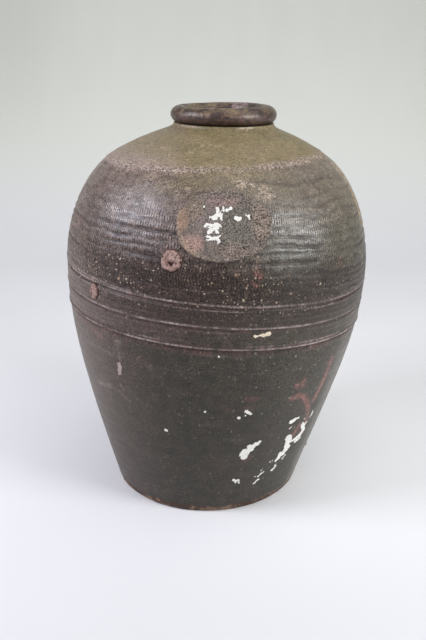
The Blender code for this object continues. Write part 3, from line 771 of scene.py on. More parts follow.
def wall_flakes(name, marks, thickness, seed, material, slot, depth=0.0008):
    """Flakes on the lower wall, drawn on a sheet of angles times a fixed radius, and heights."""
    ends = np.array([end for mark in marks for end in mark[:2]])
    margin = max(mark[2] for mark in marks) + 0.004
    low = (np.radians(ends[:, 0].min()) * SHEET_RADIUS - margin, ends[:, 1].min() - margin)
    high = (np.radians(ends[:, 0].max()) * SHEET_RADIUS + margin, ends[:, 1].max() + margin)

    def distance_of(across, up):
        gaps = [stroke(across / SHEET_RADIUS, up, start, end) - width for start, end, width in marks]
        return ragged(np.minimum.reduce(gaps), across, up, seed, depth=depth)

    def place_of(across, up, proud):
        angle = across / SHEET_RADIUS
        flat, lifted = skin(up, wall_relief(angle, up)[0] + proud)
        return upright(flat, lifted, angle)

    across, up, inside = flake_cells(low, high, WALL_FLAKE_STEP, distance_of)
    mesh = flake_mesh(name, across, up, inside, place_of, thickness, seed)
    return shown(name, mesh, material, slot)


def pad_flakes(material):
    def distance_of(across, up):
        gaps = []
        for left, low, right, high, width in np.array(PAD_FLAKES) / 1000:
            gap = line_distance(across - left, up - low, right - left, high - low)
            gaps.append(gap - width * PAD_FLAKE_GROWTH)
        return ragged(np.minimum.reduce(gaps), across, up, 91, 0.0024, 0.0009)

    def place_of(across, up, proud):
        angle, there = wall_place(across, up, PAD_ANGLE, PAD_MIDDLE)
        flat, lifted = skin(there, pad_proud(across, up) + proud)
        return upright(flat, lifted, angle)

    across, up, inside = flake_cells(*PAD_FLAKE_BOX, PAD_FLAKE_STEP, distance_of)
    mesh = flake_mesh("pad_white_flakes", across, up, inside, place_of, FLAKE_THICKNESS, 92)
    return shown("pad_white_flakes", mesh, material, "pad_clay")


# Materials


def tone(red, green, blue):
    """A linear colour from one as it looks on a screen, from 0 to 255."""
    parts = [value / 255 for value in (red, green, blue)]
    parts = [part / 12.92 if part <= 0.04045 else ((part + 0.055) / 1.055) ** 2.4 for part in parts]
    return (*parts, 1)


class Nodes:
    """Makes a material's nodes from calls that take numbers, colours or other nodes' outputs."""

    def __init__(self, name):
        self.material = bpy.data.materials.new(name)
        self.material.use_nodes = True
        self.tree = self.material.node_tree
        self.shader = self.tree.nodes["Principled BSDF"]

    def put(self, socket, value):
        """Links a node's output to a socket, or sets the socket to a plain value."""
        if isinstance(value, bpy.types.NodeSocket):
            self.tree.links.new(value, socket)
        else:
            socket.default_value = value

    def add(self, kind, inputs, **settings):
        node = self.tree.nodes.new(kind)
        for key, value in settings.items():
            setattr(node, key, value)
        for key, value in inputs.items():
            self.put(node.inputs[key], value)
        return node

    def mark(self, name):
        return self.add("ShaderNodeAttribute", {}, attribute_name=name).outputs["Fac"]

    def place(self, name, stretch=(1, 1, 1)):
        """A kept vector of the surface, stretched along its axes."""
        vector = self.add("ShaderNodeAttribute", {}, attribute_name=name).outputs["Vector"]
        return self.vector("MULTIPLY", vector, stretch)

    def parts(self, vector):
        return self.add("ShaderNodeSeparateXYZ", {0: vector}).outputs

    def vector(self, operation, first, second):
        inputs = {0: first, 1: second}
        return self.add("ShaderNodeVectorMath", inputs, operation=operation).outputs[0]

    def scaled(self, vector, factor):
        """A colour or a vector times a factor."""
        inputs = {0: vector, "Scale": factor}
        return self.add("ShaderNodeVectorMath", inputs, operation="SCALE").outputs[0]

    def shaken(self, vector, size, amount):
        """A vector pushed about by noise, which makes what is drawn from it ragged."""
        push = self.add("ShaderNodeTexNoise", {"Vector": vector, "Scale": 1 / size, "Detail": 2})
        centred = self.vector("SUBTRACT", push.outputs["Color"], (0.5, 0.5, 0.5))
        return self.vector("ADD", vector, self.scaled(centred, amount))

    def math(self, operation, *values):
        node = self.add("ShaderNodeMath", dict(enumerate(values)), operation=operation)
        return node.outputs[0]

    def most(self, first, second):
        return self.math("MAXIMUM", first, second)

    def least(self, first, second):
        return self.math("MINIMUM", first, second)

    def minus(self, first, second):
        return self.math("SUBTRACT", first, second)

    def ratio(self, first, second):
        return self.math("DIVIDE", first, second)

    def gap(self, value):
        return self.math("ABSOLUTE", value)

    def times(self, *values):
        total = values[0]
        for value in values[1:]:
            total = self.math("MULTIPLY", total, value)
        return total

    def plus(self, *values):
        total = values[0]
        for value in values[1:]:
            total = self.math("ADD", total, value)
        return total

    def squares(self, *values):
        """The sum of the squares of the values."""
        return self.plus(*(self.math("POWER", value, 2) for value in values))

    def noise(self, vector, size, detail=4, roughness=0.55):
        """Noise about 0.5 whose lumps are about size metres across."""
        return self.add("ShaderNodeTexNoise", {"Vector": vector, "Scale": 1 / size, "Detail": detail,
                                               "Roughness": roughness}).outputs["Fac"]

    def swing(self, value, gain):
        """Noise moved to swing about zero, gain times stronger."""
        return self.times(self.minus(value, 0.5), gain)

    def band(self, value, low, high, start=0, end=1):
        """Goes smoothly from start to end while the value goes from low to high."""
        return self.add("ShaderNodeMapRange", {0: value, 1: low, 2: high, 3: start, 4: end},
                        interpolation_type="SMOOTHSTEP").outputs[0]

    def dots(self, vector, pitch, size, share):
        """Round specks in a share of the cells of a random net."""
        cells = self.add("ShaderNodeTexVoronoi", {"Vector": vector, "Scale": 1 / pitch})
        pick = self.parts(cells.outputs["Color"])
        near = self.band(cells.outputs["Distance"], size / pitch * 0.6, size / pitch, 1, 0)
        return self.times(near, self.band(pick[1], 0, 1, 0.55, 1), self.math("LESS_THAN", pick[0], share))

    def mix(self, share, first, second):
        """Goes from the first colour to the second, each an output or a tone's three numbers."""
        first, second = (tone(*colour) if isinstance(colour, tuple) else colour
                         for colour in (first, second))
        return self.add("ShaderNodeMix", {0: share, 6: first, 7: second}, data_type="RGBA").outputs[2]

    def tint(self, colour, shade, *shares):
        """The colour with a shade laid over it, as strong as the product of the shares."""
        return self.mix(self.times(*shares), colour, shade)

    def finish(self, colour, roughness, height, specular=0.5):
        """Sets the shader, with a bump of this height in millimetres."""
        bump = self.add("ShaderNodeBump", {"Height": height, "Distance": 0.001, "Strength": 1.0})
        for key, value in (("Base Color", colour), ("Roughness", roughness),
                           ("Specular IOR Level", specular), ("Normal", bump.outputs[0])):
            self.put(self.shader.inputs[key], value)
        return self.material


class WallNodes(Nodes):
    """The nodes of the jar's glaze, with the places, noises and masks that its layers share."""

    def __init__(self, name):
        super().__init__(name)
        self.spot = self.place("upright")
        self.level = self.place("upright", (1, 1, 4.5))
        self.across, self.depth, self.height = self.parts(self.spot)
        self.big = self.noise(self.spot, 0.055, 3)
        self.middle = self.noise(self.spot, 0.016, 5, 0.62)
        self.streak = self.noise(self.level, 0.03, 5, 0.6)
        self.clot = self.noise(self.spot, 0.007, 4, 0.65)
        self.grain = self.noise(self.spot, 0.0028, 3, 0.7)
        self.grit = self.noise(self.spot, 0.0014, 2, 0.7)
        self.flow = self.noise(self.place("upright", (1, 1, 9)), 0.045, 6, 0.68)
        self.wavy = self.plus(self.height, self.swing(self.middle, 0.03), self.swing(self.big, 0.03))
        self.ragged = self.shaken(self.spot, 0.0022, 0.0022)
        self.turn = self.math("ARCTAN2", self.across, self.times(self.depth, -1))
        line = self.plus(SHOULDER_LINE, self.times(self.across, SHOULDER_LINE_SLOPE))
        self.over = self.minus(self.height, line)
        uneven = self.plus(self.over, self.swing(self.clot, 0.01), self.swing(self.middle, 0.006))
        self.above = self.band(uneven, -0.005, 0.002)


def wall_masks(n):
    """Adds the masks of the rough belt, ridges for wear and painted highlight, ribs, cream specks, pits
    and bare foot.
    """
    n.edge = belt_edge(n)
    # Ridges, broken up by noise, take a pale tint that is wear and a painted highlight
    n.worn = n.times(n.mark("ridge"), n.band(n.plus(n.grain, n.swing(n.clot, 0.5)), 0.4, 0.56, 0.35, 1))
    wave = n.math("SINE", n.plus(n.times(n.turn, HATCH_COUNT), n.mark("phase")))
    n.ribs = n.times(wave, n.mark("rib"))
    n.cream = cream_specks(n)
    n.holes = n.times(n.dots(n.ragged, 0.011, 0.0013, 0.3), n.band(n.over, 0.002, -0.004, 0.35, 1))
    uneven = n.plus(n.height, n.swing(n.middle, 0.014), n.swing(n.big, 0.012))
    n.bare = n.band(uneven, 0.0062, 0.01, 1, 0)


def belt_edge(n):
    """The pale rough edge of the cap's glaze, broken up, and broader on the left."""
    edge = n.times(n.band(n.gap(n.plus(n.over, n.swing(n.clot, 0.006))), 0.001, 0.0042, 1, 0),
                   n.band(n.plus(n.grain, n.swing(n.big, 0.6), n.swing(n.grit, 0.5)), 0.36, 0.6, 0.25, 1))
    broad = n.times(n.band(n.gap(n.plus(n.over, -0.002)), 0.001, 0.012, 1, 0),
                    n.band(n.across, -0.02, -0.085), n.band(n.clot, 0.3, 0.62, 0.35, 1))
    return n.most(n.times(edge, n.band(n.gap(n.plus(n.turn, -0.06)), 0.02, 0.3, 0.35, 1)),
                  n.times(broad, 0.6))


def cream_specks(n):
    """Cream specks, thickest round the upper cut line, and a few on the cap."""
    busy = n.plus(0.2, n.times(n.band(n.height, 0.268, 0.288), n.band(n.height, 0.315, 0.345, 1, 0)),
                  n.times(n.band(n.height, 0.19, 0.235), 0.15))
    busy = n.times(busy, n.band(n.middle, 0.34, 0.62, 0.35, 1.2), n.band(n.across, 0.03, 0.1, 1, 0.55))
    torn = n.shaken(n.spot, 0.0016, 0.0034)
    cream = n.most(n.times(n.dots(torn, 0.004, 0.001, 0.5), busy),
                   n.times(n.dots(torn, 0.012, 0.0019, 0.45), busy))
    return n.most(cream, n.times(n.dots(torn, 0.0105, 0.0017, 0.42), n.band(n.over, 0, 0.004), 0.9))


def ground(n):
    """Olive brown below; on the belly purple brown at the left and khaki at the right."""
    lower = n.mix(n.band(n.middle, 0.35, 0.68), (51, 48, 41), (61, 56, 48))
    lower = n.tint(lower, (70, 59, 52), n.band(n.flow, 0.5, 0.68), 0.45)
    lower = n.tint(lower, (42, 39, 34), n.band(n.flow, 0.46, 0.32), 0.35)
    lower = n.tint(lower, (78, 66, 59), n.band(n.across, -0.03, -0.12), 0.7)
    lower = n.tint(lower, (100, 78, 70), n.band(n.across, -0.02, -0.08), n.band(n.clot, 0.5, 0.64),
                   n.band(n.middle, 0.42, 0.6), 0.28)
    lower = n.tint(lower, (76, 72, 64), n.band(n.across, 0.03, 0.12), 0.4)
    purple = n.mix(n.band(n.middle, 0.32, 0.68), (66, 54, 50), (90, 76, 71))
    khaki = n.mix(n.band(n.middle, 0.32, 0.68), (62, 57, 49), (82, 76, 66))
    belly = n.mix(n.band(n.plus(n.across, n.swing(n.big, 0.16)), -0.05, 0.07), purple, khaki)
    belly = n.scaled(belly, n.band(n.wavy, 0.325, 0.405, 1.0, 1.53))
    return n.mix(n.band(n.wavy, 0.232, 0.262), lower, belly)


def soft_stains(n, colour):
    """Large soft changes: dark and washed belts, both flanks, painted reflection at the outlines, and
    dust under the cap.
    """
    dark = n.times(n.band(n.wavy, 0.232, 0.286), n.band(n.wavy, 0.305, 0.338, 1, 0))
    colour = n.tint(colour, (47, 37, 31), dark, 0.8)
    washed = n.times(n.band(n.plus(n.flow, n.swing(n.clot, 0.2)), 0.46, 0.62),
                     n.band(n.height, 0.225, 0.245), n.band(n.height, 0.315, 0.285),
                     n.band(n.across, 0.0, -0.08, 0.06, 1))
    colour = n.tint(colour, (94, 76, 71), washed, 0.6)
    # The left flank is lighter: warm brown glaze, and partly a painted reflection near the left outline
    flank = n.times(n.band(n.across, -0.09, -0.165), n.band(n.height, 0.39, 0.33),
                    n.band(n.height, 0.0, 0.1, 0.5, 1))
    colour = n.tint(colour, (112, 98, 88), flank, 0.5)
    colour = n.tint(colour, (84, 79, 61), n.band(n.across, 0.08, 0.145), n.band(n.height, 0.3, 0.36),
                    0.45)
    # Painted reflection: a pale glow along the lower right outline
    painted_edge_reflection = n.times(n.band(n.turn, 0.9, 1.1), n.band(n.turn, 1.75, 1.08), n.band(n.height, 0.27, 0.18),
                    n.band(n.middle, 0.35, 0.65, 0.3, 0.44))
    colour = n.tint(colour, (143, 139, 131), painted_edge_reflection)
    dust = n.times(n.band(n.wavy, 0.35, 0.41), n.band(n.clot, 0.3, 0.62, 0.3, 1))
    return n.tint(colour, (134, 117, 104), dust, 0.5)


def ash_cap(n, colour):
    """The olive ash glaze of the cap, ashy at the left, and its rough edge."""
    front = n.times(n.band(n.depth, -0.1, -0.14), n.band(n.over, -0.04, -0.008))
    below = n.times(front, n.band(n.plus(n.streak, n.swing(n.clot, 0.3)), 0.3, 0.6, 0.35, 0.9))
    olive = n.mix(n.band(n.streak, 0.3, 0.7), (116, 105, 74), (132, 118, 88))
    olive = n.tint(olive, (130, 115, 92), n.band(n.big, 0.42, 0.64), 0.55)
    ashy = n.times(n.band(n.across, -0.03, -0.095), n.band(n.over, 0.022, 0.004, 0.35, 1))
    olive = n.tint(olive, (152, 136, 128), ashy, 0.6)
    olive = n.scaled(olive, n.band(n.over, -0.016, 0.001, 0.69, 1))
    colour = n.mix(n.most(n.above, below), colour, olive)
    return n.tint(colour, (158, 140, 131), n.edge, 0.8)


def old_marks(n, colour):
    """Painted shade in the grooves, a red-brown stain in them below the belly, smears of buff and red,
    and a stain under the seam.
    """
    # Painted shade: the grooves of the seam, the cut lines and the throwing rings are darkened
    colour = n.tint(colour, (40, 30, 27), n.mark("groove"), 0.5)
    under = n.times(n.mark("groove"), n.band(n.height, 0.292, 0.289), n.band(n.clot, 0.42, 0.6))
    colour = n.tint(colour, (82, 52, 46), under, 0.55)
    colour = n.tint(colour, (166, 138, 108), n.mark("buff"), n.band(n.clot, 0.3, 0.6, 0.6, 1))
    colour = n.tint(colour, (148, 101, 94), n.mark("red"),
                    n.band(n.plus(n.grain, n.swing(n.clot, 1)), 0.38, 0.62, 0.6, 1))
    seam = n.band(n.gap(n.plus(n.height, 0.0062 - SEAM_HEIGHT)), 0.001, 0.0042, 1, 0)
    return n.tint(colour, (100, 74, 68), seam,
                  n.band(n.plus(n.clot, n.swing(n.big, 1)), 0.38, 0.6, 0.2, 1), 0.45)


def grained(n, colour):
    """The glaze's grain and painted light and shade along the paddle's ribs, coarser on the belly than
    below.
    """
    coarse = n.plus(0.3, n.times(n.band(n.height, 0.13, 0.225), 0.2),
                    n.times(n.band(n.height, 0.264, 0.294), 0.65))
    coarse = n.times(coarse, n.band(n.over, -0.002, 0.006, 1, 0.4),
                     n.band(n.height, 0.368, 0.392, 1, 0.52),
                     n.band(n.across, 0.02, 0.09, 1, n.band(n.height, 0.22, 0.27, 1.7, 0.8)),
                     n.band(n.across, -0.03, -0.09, 1, 1.15), n.band(n.grain, 0.1, 0.9, 0.8, 1.2))
    coarse = n.plus(coarse, n.times(n.edge, 0.15), n.times(n.above, 0.06))
    woven = n.times(n.swing(n.noise(n.place("upright", (1, 1, 6)), 0.0055, 3, 0.7), 1.5), n.above)
    clots = n.times(n.swing(n.clot, 1.2), n.band(n.height, 0.15, 0.26, 0.3, 1))
    # The ribs' wave in the colour is painted light and shade, in step with their relief
    rough = n.plus(n.swing(n.grit, 5.0), n.swing(n.grain, 2.4), clots, n.times(n.ribs, 0.72))
    return n.scaled(colour, n.most(n.plus(1, woven, n.times(coarse, rough)), 0.25))


def specked(n, colour):
    """Pale ridges of wear and painted highlight, lint, pale scratches, painted highlights under the rim,
    specks, pits and rust.
    """
    # Pale ridges: wear, and a painted highlight along their tops
    colour = n.tint(colour, (180, 162, 159), n.worn, 0.9)
    lint = n.times(n.dots(n.shaken(n.spot, 0.0018, 0.003), 0.008, 0.0015, 0.55),
                   n.band(n.height, 0.25, 0.236), n.band(n.height, 0.02, 0.2, 0.4, 1),
                   n.band(n.across, 0.01, 0.07, 0.5, 1))
    colour = n.mix(lint, colour, n.mix(n.band(n.across, 0.01, 0.06), (122, 115, 106), (146, 140, 131)))
    upper = n.band(n.height, 0.3, 0.36)
    torn = n.band(n.plus(n.grain, n.swing(n.clot, 0.9), n.swing(n.grit, n.times(upper, 0.7))), 0.44, 0.54)
    # The pale mark holds scratches, and painted highlight strips on the neck just under the rim
    pale = n.times(n.mark("pale"), n.most(torn, n.minus(0.34, n.times(upper, 0.26))))
    colour = n.mix(pale, colour, n.mix(upper, (146, 129, 121), (196, 173, 152)))
    colour = n.mix(n.times(n.cream, 0.85), colour,
                   n.mix(n.band(n.clot, 0.44, 0.62), (200, 184, 162), (172, 140, 112)))
    colour = n.tint(colour, (20, 15, 13), n.holes, 0.9)
    rust = n.times(n.dots(n.ragged, 0.028, 0.0028, 0.25), n.band(n.height, 0.29, 0.33))
    return n.tint(colour, (168, 126, 102), rust, 0.45)


def bare_parts(n, colour):
    """The plain inside and the unglazed edge of the foot."""
    colour = n.mix(n.mark("inside"), colour, n.mix(n.middle, (52, 36, 30), (84, 62, 50)))
    clay = n.mix(n.band(n.plus(n.clot, n.swing(n.big, 1.2)), 0.42, 0.6), (74, 58, 50), (128, 104, 86))
    clay = n.scaled(clay, n.plus(1, n.swing(n.grit, 2.0)))
    return n.mix(n.bare, colour, clay)


def surface(n):
    """Roughness, bump height and shine of the glaze, which is wettest high on the belly."""
    lit = n.times(n.band(n.height, 0.322, 0.356), n.band(n.over, -0.012, 0.002, 1, 0))
    wet = n.band(n.plus(n.noise(n.level, 0.016, 3, 0.6), n.swing(n.clot, 0.3)), 0.48, 0.62, -0.5, 1)
    wet = n.times(wet, lit)
    roughness = n.plus(n.band(n.streak, 0.3, 0.72, 0.27, 0.37), n.times(n.above, 0.16),
                       n.times(n.edge, 0.25), n.times(n.worn, 0.12), n.times(n.mark("buff"), 0.12),
                       n.swing(n.grit, 0.26), n.times(n.bare, 0.4),
                       n.times(n.band(n.height, 0.31, 0.27), 0.1), n.times(n.mark("groove"), 0.2),
                       n.times(wet, -0.07))
    shine = n.plus(0.32, n.times(wet, 0.16), n.times(lit, 0.34), n.times(n.above, 0.06))
    bumpy = n.plus(0.3, n.times(n.band(n.height, 0.15, 0.235), 0.15),
                   n.times(n.band(n.height, 0.238, 0.3), 0.2))
    bumpy = n.times(bumpy, n.band(n.over, -0.002, 0.006, 1, 0.5))
    grains = n.plus(n.times(n.grain, 0.42), n.times(n.grit, 0.2), n.times(n.clot, 0.65))
    bump = n.plus(n.times(grains, bumpy), n.times(n.ribs, 0.04), n.times(n.edge, n.grit, 0.4),
                  n.times(n.cream, 0.12), n.times(n.holes, -0.25))
    return roughness, bump, shine


def jar_glaze():
    """The glaze of the whole wall: olive ash on the cap, purple brown on the paddled belly and
    olive brown below, with specks, worn ridges, old smears and a bare foot edge."""
    n = WallNodes("jar_glaze")
    wall_masks(n)
    colour = ground(n)
    for layer in (soft_stains, ash_cap, old_marks, grained, specked, bare_parts):
        colour = layer(n, colour)
    return n.finish(colour, *surface(n))


def rim_glaze():
    """Dark purple-brown glaze that ran off the top of the roll, with khaki where it pooled; painted
    glints and shade.
    """
    n = Nodes("rim_glaze")
    place = n.place("upright")
    level = n.place("upright", (1, 1, 2.2))
    across, depth, height = n.parts(place)
    middle = n.noise(level, 0.014, 5, 0.6)
    clot = n.noise(place, 0.007, 4, 0.6)
    grain = n.noise(place, 0.0026, 4, 0.7)
    fine = n.noise(level, 0.0075, 4, 0.7)
    colour = n.mix(n.band(n.plus(fine, n.swing(middle, 0.6)), 0.36, 0.66), (31, 18, 16), (77, 54, 49))
    low = n.plus(n.band(height, 0.46, 0.466, -0.2, 0.48), n.swing(middle, 2.0), n.swing(fine, 2.2))
    colour = n.tint(colour, (106, 84, 56), n.band(low, 0.35, 0.85), 0.75)
    top = n.times(n.band(n.plus(n.noise(level, 0.024, 3), n.swing(fine, 0.5)), 0.46, 0.62),
                  n.band(height, 0.464, 0.47))
    colour = n.tint(colour, (112, 98, 72), top, 0.7)
    far_side = n.times(n.band(depth, 0.012, 0.034), n.band(fine, 0.4, 0.6))
    glint = n.times(n.band(across, 0.006, 0.014), n.band(across, 0.034, 0.024))
    # Painted highlight: lilac glints on the far inner wall of the mouth
    colour = n.tint(colour, (152, 134, 142), far_side, glint, 0.75)
    colour = n.tint(colour, (106, 94, 66), far_side, n.band(across, -0.004, -0.018), 0.7)
    colour = n.scaled(colour, n.most(n.plus(1, n.swing(grain, 3.4), n.swing(clot, 0.8)), 0.3))
    specks = n.dots(n.shaken(place, 0.002, 0.002), 0.009, 0.0011, 0.35)
    colour = n.tint(colour, (176, 160, 146), specks, 0.5)
    # Painted shade: near black low on the roll, just above the collar
    colour = n.tint(colour, (24, 17, 16), n.band(height, 0.4572, 0.4548))
    gloss = n.plus(0.28, n.times(clot, 0.18), n.times(n.band(low, 0.4, 0.9), 0.1))
    n.shader.inputs["Specular Tint"].default_value = (1.0, 0.88, 0.78, 1)
    return n.finish(colour, gloss, n.plus(n.times(grain, 0.44), n.times(clot, 0.65)), specular=1.0)


# Soft oval patches of the pad: colour, across and up from its middle, half-width, half-height and
# strength
PAD_PATCHES = (((96, 92, 85), 0.008, 0, 0.028, 0.018, 0.75),
               ((118, 106, 102), -0.018, -0.001, 0.014, 0.020, 0.6),
               ((154, 125, 104), -0.045, 0.002, 0.008, 0.013, 0.72),
               ((130, 112, 94), -0.036, 0.014, 0.014, 0.014, 0.45),
               ((168, 136, 124), -0.032, -0.0215, 0.0105, 0.009, 0.7),
               ((146, 119, 115), -0.004, 0.024, 0.016, 0.006, 0.42),
               ((138, 121, 109), 0.036, 0.004, 0.010, 0.018, 0.65),
               ((136, 116, 106), 0.010, -0.026, 0.016, 0.006, 0.4))


def pad_clay():
    """Rough pitted clay: an orange edge at the left and top, partly a painted highlight, pink below, grey
    green in the middle.
    """
    n = Nodes("pad_clay")
    place = n.place("upright")
    across, up, _ = n.parts(n.place("local"))
    middle = n.noise(place, 0.013, 5, 0.65)
    clot = n.noise(place, 0.006, 4, 0.65)
    grain = n.noise(place, 0.0028, 3, 0.7)
    grit = n.noise(place, 0.0014, 2, 0.7)
    reach = n.math("SQRT", n.squares(n.ratio(across, PAD_HALF_WIDTH), n.ratio(up, PAD_HALF_HEIGHT)))
    colour = n.mix(n.band(middle, 0.36, 0.64), (100, 91, 84), (118, 106, 98))
    for shade, side, rise, width, height, strength in PAD_PATCHES:
        far = n.squares(n.ratio(n.minus(across, side), width), n.ratio(n.minus(up, rise), height))
        colour = n.tint(colour, shade, n.band(n.plus(far, n.swing(middle, 1.2)), 1.7, 0.1), strength)
    # A pale orange fringe, strongest at the left and top: the edge's own colour and partly a painted
    # highlight
    edging = n.most(n.band(across, 0.0, -0.03, 0.2, 1), n.band(up, 0.012, 0.028, 0, 0.9))
    fringe_and_highlight = n.times(n.band(n.plus(reach, n.swing(clot, 0.25)), 0.9, 0.99), edging)
    colour = n.tint(colour, (160, 139, 118), fringe_and_highlight, n.band(grain, 0.42, 0.56, 0.3, 1), 0.45)
    plain = n.band(n.minus(across, n.times(up, -0.6)), -0.016, -0.034, 0.9, 0.62)
    rough = n.times(plain, n.plus(n.swing(grit, 7.0), n.swing(grain, 0.9), n.swing(clot, 0.5)))
    factor = n.plus(1.06, n.least(rough, 0), n.times(n.most(rough, 0), 0.7))
    colour = n.scaled(colour, n.most(factor, 0.25))
    heavy = n.plus(n.band(n.plus(reach, n.swing(middle, 0.7)), 0.3, 0.95),
                   n.band(across, -0.02, 0.03, -0.75, 0.4), n.band(up, 0.012, 0.034, 0, 0.55))
    ragged_place = n.shaken(place, 0.002, 0.0024)
    specks = n.times(n.most(n.dots(ragged_place, 0.0028, 0.0012, 0.58),
                            n.dots(ragged_place, 0.0042, 0.0015, 0.5)), n.band(heavy, 0.45, 0.95))
    colour = n.tint(colour, (28, 22, 20), specks, 0.92)
    colour = n.tint(colour, (200, 182, 166), n.dots(ragged_place, 0.006, 0.0011, 0.3), 0.6)
    bump = n.plus(n.times(grain, 0.5), n.times(grit, 0.3), n.times(clot, 0.6), n.times(specks, -0.45))
    return n.finish(colour, n.plus(0.5, n.times(grain, 0.3)), bump, specular=0.3)


def kiln_clay():
    """Bare pinkish kiln clay, paler where it stands proud, with painted shade where it sinks to the wall
    and in its pits.
    """
    n = Nodes("kiln_clay")
    place = n.place("upright")
    proud = n.parts(n.place("local"))[2]
    grain = n.noise(place, 0.002, 4, 0.7)
    middle = n.noise(place, 0.005, 4, 0.6)
    raised = n.plus(proud, n.swing(middle, 0.0012))
    colour = n.mix(n.band(middle, 0.36, 0.64), (110, 80, 74), (144, 114, 107))
    colour = n.tint(colour, (168, 142, 132), n.band(raised, 0.0015, 0.0025), 0.75)
    colour = n.scaled(colour, n.plus(1, n.swing(grain, 3.4)))
    # Painted shade: near black where the lump sinks to the wall and in its deep pits, and in the small
    # pits below
    colour = n.tint(colour, (42, 26, 22), n.band(raised, 0.0013, 0.0004, 0, 0.98))
    pits = n.dots(n.shaken(place, 0.002, 0.0024), 0.0046, 0.0016, 0.55)
    colour = n.tint(colour, (44, 27, 23), pits, 0.95)
    return n.finish(colour, n.plus(0.7, n.times(grain, 0.2)), n.plus(grain, n.times(pits, -0.5)),
                    specular=0.3)


def lump_glaze():
    """A clay lump under the same dark glaze as the wall round it."""
    n = Nodes("lump_glaze")
    place = n.place("upright")
    grain = n.noise(place, 0.0026, 4, 0.7)
    middle = n.noise(place, 0.008, 4, 0.6)
    colour = n.mix(n.band(middle, 0.35, 0.66), (60, 56, 50), (78, 72, 65))
    colour = n.scaled(colour, n.plus(1, n.swing(grain, 2.5)))
    return n.finish(colour, n.plus(0.4, n.times(grain, 0.2)), n.times(grain, 0.6))


def flake_coat(name, pale, soiled, low_tone):
    """A chalky flake, darker in its low places."""
    n = Nodes(name)
    place = n.place("upright")
    grain = n.noise(place, 0.0016, 4, 0.7)
    middle = n.noise(place, 0.005, 4, 0.6)
    colour = n.mix(n.band(middle, 0.42, 0.72, 0, 0.6), pale, soiled)
    colour = n.mix(n.band(grain, 0.4, 0.25, 0, 0.8), colour, low_tone)
    return n.finish(colour, n.plus(0.78, n.times(grain, 0.15)), n.times(grain, 0.4), specular=0.25)


def studio_paper():
    """Pale seamless paper with painted shade where it rises at the back and near the camera, and painted
    light by the jar.
    """
    n = Nodes("studio_paper")
    place = n.add("ShaderNodeTexCoord", {}).outputs["Object"]
    side, depth, height = n.parts(place)
    cloud = n.noise(place, 0.9, 3)
    colour = n.mix(n.band(cloud, 0.3, 0.7), (236, 236, 239), (241, 241, 243))
    colour = n.tint(colour, (240, 242, 233), n.band(height, -0.05, 0.3))
    folds = n.noise(n.vector("MULTIPLY", place, (1, 0.3, 0.22)), 0.16, 3)
    from_jar = n.math("SQRT", n.squares(n.plus(side, -0.06), n.plus(depth, -0.1)))
    # Painted light: the paper is a little lighter round the jar, where the jar's shadow falls
    painted_light_near_jar = n.band(from_jar, 0.42, 0.14)
    upper = n.band(height, 0.05, 0.4)
    # Painted shade: darker as the paper rises, towards the camera and high at both sides
    shade = n.plus(n.band(height, 0.02, 0.75, 0, 0.18), n.band(depth, 0.1, -0.45, 0, 0.2),
                   n.times(painted_light_near_jar, -0.075), n.times(upper, n.band(side, -0.28, -0.75), 0.06),
                   n.times(upper, n.band(side, 0.45, 0.8), 0.03),
                   n.times(n.swing(folds, 0.1), n.band(height, 0.1, 0.6)))
    colour = n.scaled(colour, n.minus(1, shade))
    return n.finish(colour, 0.85, n.times(n.noise(place, 0.004, 2), 0.1), specular=0.2)


# Studio


# The paper sheet: half its width, its front edge, where it stands, its top and its bend's radius
SWEEP_HALF_WIDTH, SWEEP_FRONT, SWEEP_BACK, SWEEP_TOP, SWEEP_BEND = 4.0, -3.5, 1.9, 4.0, 0.9
# Square soft lights that shine at one place of the jar: azimuth and elevation in degrees,
# distance, size, power and colour
LIGHT_TARGET = (0.01, 0, 0.27)
SOFT_LIGHTS = {"left_softbox": (-70, 31, 1.6, 0.66, 18, (0.87, 0.88, 1)),
               "right_softbox": (57, 20, 1.6, 0.66, 17, (0.96, 0.985, 1)),
               "top_fill": (60, 68, 2.2, 2.0, 14, (1, 1, 1))}
AIR_COLOUR = (0.98, 0.97, 0.99, 1)
AIR_STRENGTH = 0.4
# The photo's camera: its place, how far it looks down in degrees, and its lens in millimetres
CAMERA_PLACE = (0.008, -0.9235, 0.5386)
CAMERA_PITCH = 19.74
CAMERA_LENS = 43.1


def sweep(material):
    """Floor and backdrop in one curved sheet."""
    middle = SWEEP_BACK - SWEEP_BEND
    profile = [(SWEEP_FRONT, 0), (middle, 0)]
    for turn in np.linspace(0, math.pi / 2, 24)[1:]:
        profile.append((middle + SWEEP_BEND * math.sin(turn), SWEEP_BEND - SWEEP_BEND * math.cos(turn)))
    profile.append((SWEEP_BACK, SWEEP_TOP))
    points = [(side, depth, height) for depth, height in profile
              for side in (-SWEEP_HALF_WIDTH, SWEEP_HALF_WIDTH)]
    faces = [(row, row + 1, row + 3, row + 2) for row in range(0, len(points) - 2, 2)]
    mesh = bpy.data.meshes.new("studio_sweep")
    mesh.from_pydata(points, [], faces)
    mesh.shade_smooth()
    mesh.materials.append(material)
    item = bpy.data.objects.new("studio_sweep", mesh)
    bpy.context.scene.collection.objects.link(item)


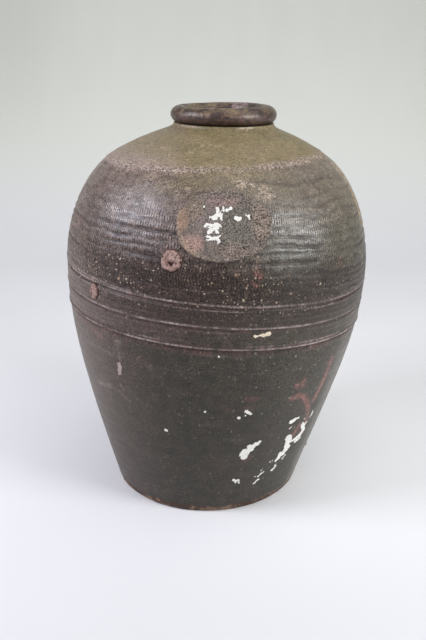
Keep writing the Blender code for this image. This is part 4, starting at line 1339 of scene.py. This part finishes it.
def soft_light(name, azimuth, elevation, distance, size, power, colour):
    turn, rise = math.radians(azimuth), math.radians(elevation)
    away = Vector((math.sin(turn) * math.cos(rise), -math.cos(turn) * math.cos(rise), math.sin(rise)))
    lamp = bpy.data.lights.new(name, "AREA")
    lamp.shape = "SQUARE"
    lamp.size = size
    lamp.energy = power
    lamp.color = colour
    item = bpy.data.objects.new(name, lamp)
    item.location = Vector(LIGHT_TARGET) + away * distance
    item.rotation_euler = (-away).to_track_quat("-Z", "Y").to_euler()
    bpy.context.scene.collection.objects.link(item)


def studio():
    sweep(studio_paper())
    for name, light in SOFT_LIGHTS.items():
        soft_light(name, *light)
    world = bpy.data.worlds.new("studio_air")
    world.use_nodes = True
    sky = world.node_tree.nodes["Background"]
    sky.inputs["Color"].default_value = AIR_COLOUR
    sky.inputs["Strength"].default_value = AIR_STRENGTH
    scene = bpy.context.scene
    scene.world = world
    scene.view_settings.view_transform = "Standard"


def camera():
    lens = bpy.data.cameras.new("photo_camera")
    lens.sensor_fit = "AUTO"
    lens.sensor_width = 36
    lens.lens = CAMERA_LENS
    lens.clip_start, lens.clip_end = 0.05, 20
    item = bpy.data.objects.new("photo_camera", lens)
    item.location = CAMERA_PLACE
    item.rotation_euler = (math.radians(90 - CAMERA_PITCH), 0, 0)
    bpy.context.scene.collection.objects.link(item)
    bpy.context.scene.camera = item


def dress():
    glaze = jar_glaze()
    base_slab(glaze)
    wall_sections(glaze)
    rolled_rim(rim_glaze())
    shoulder_pad(pad_clay())
    kiln = kiln_clay()
    kiln_wad("upper_kiln_wad", UPPER_WAD, kiln, "kiln_clay")
    kiln_wad("side_kiln_wad", SIDE_WAD, kiln, "kiln_clay")
    kiln_wad("foot_clay_lump", FOOT_LUMP, lump_glaze(), "lump_glaze", flat=0.42, unevenness=0.22)
    white = flake_coat("white_flakes", (232, 230, 224), (206, 202, 194), (140, 132, 122))
    pad_flakes(white)
    wall_flakes("lower_white_flakes", WALL_FLAKES, FLAKE_THICKNESS, 131, white, "lower_glaze")
    pale = flake_coat("pale_chip", (172, 156, 150), (150, 134, 126), (110, 94, 86))
    wall_flakes("pale_chips", PALE_CHIPS, CHIP_THICKNESS, 141, pale, "lower_glaze", 0.0009)
    cream = flake_coat("cream_chip", (226, 212, 190), (200, 182, 158), (140, 120, 100))
    wall_flakes("cream_chips", CREAM_CHIPS, FLAKE_THICKNESS, 151, cream, "band_glaze", 0.0007)


dress()
studio()
camera()
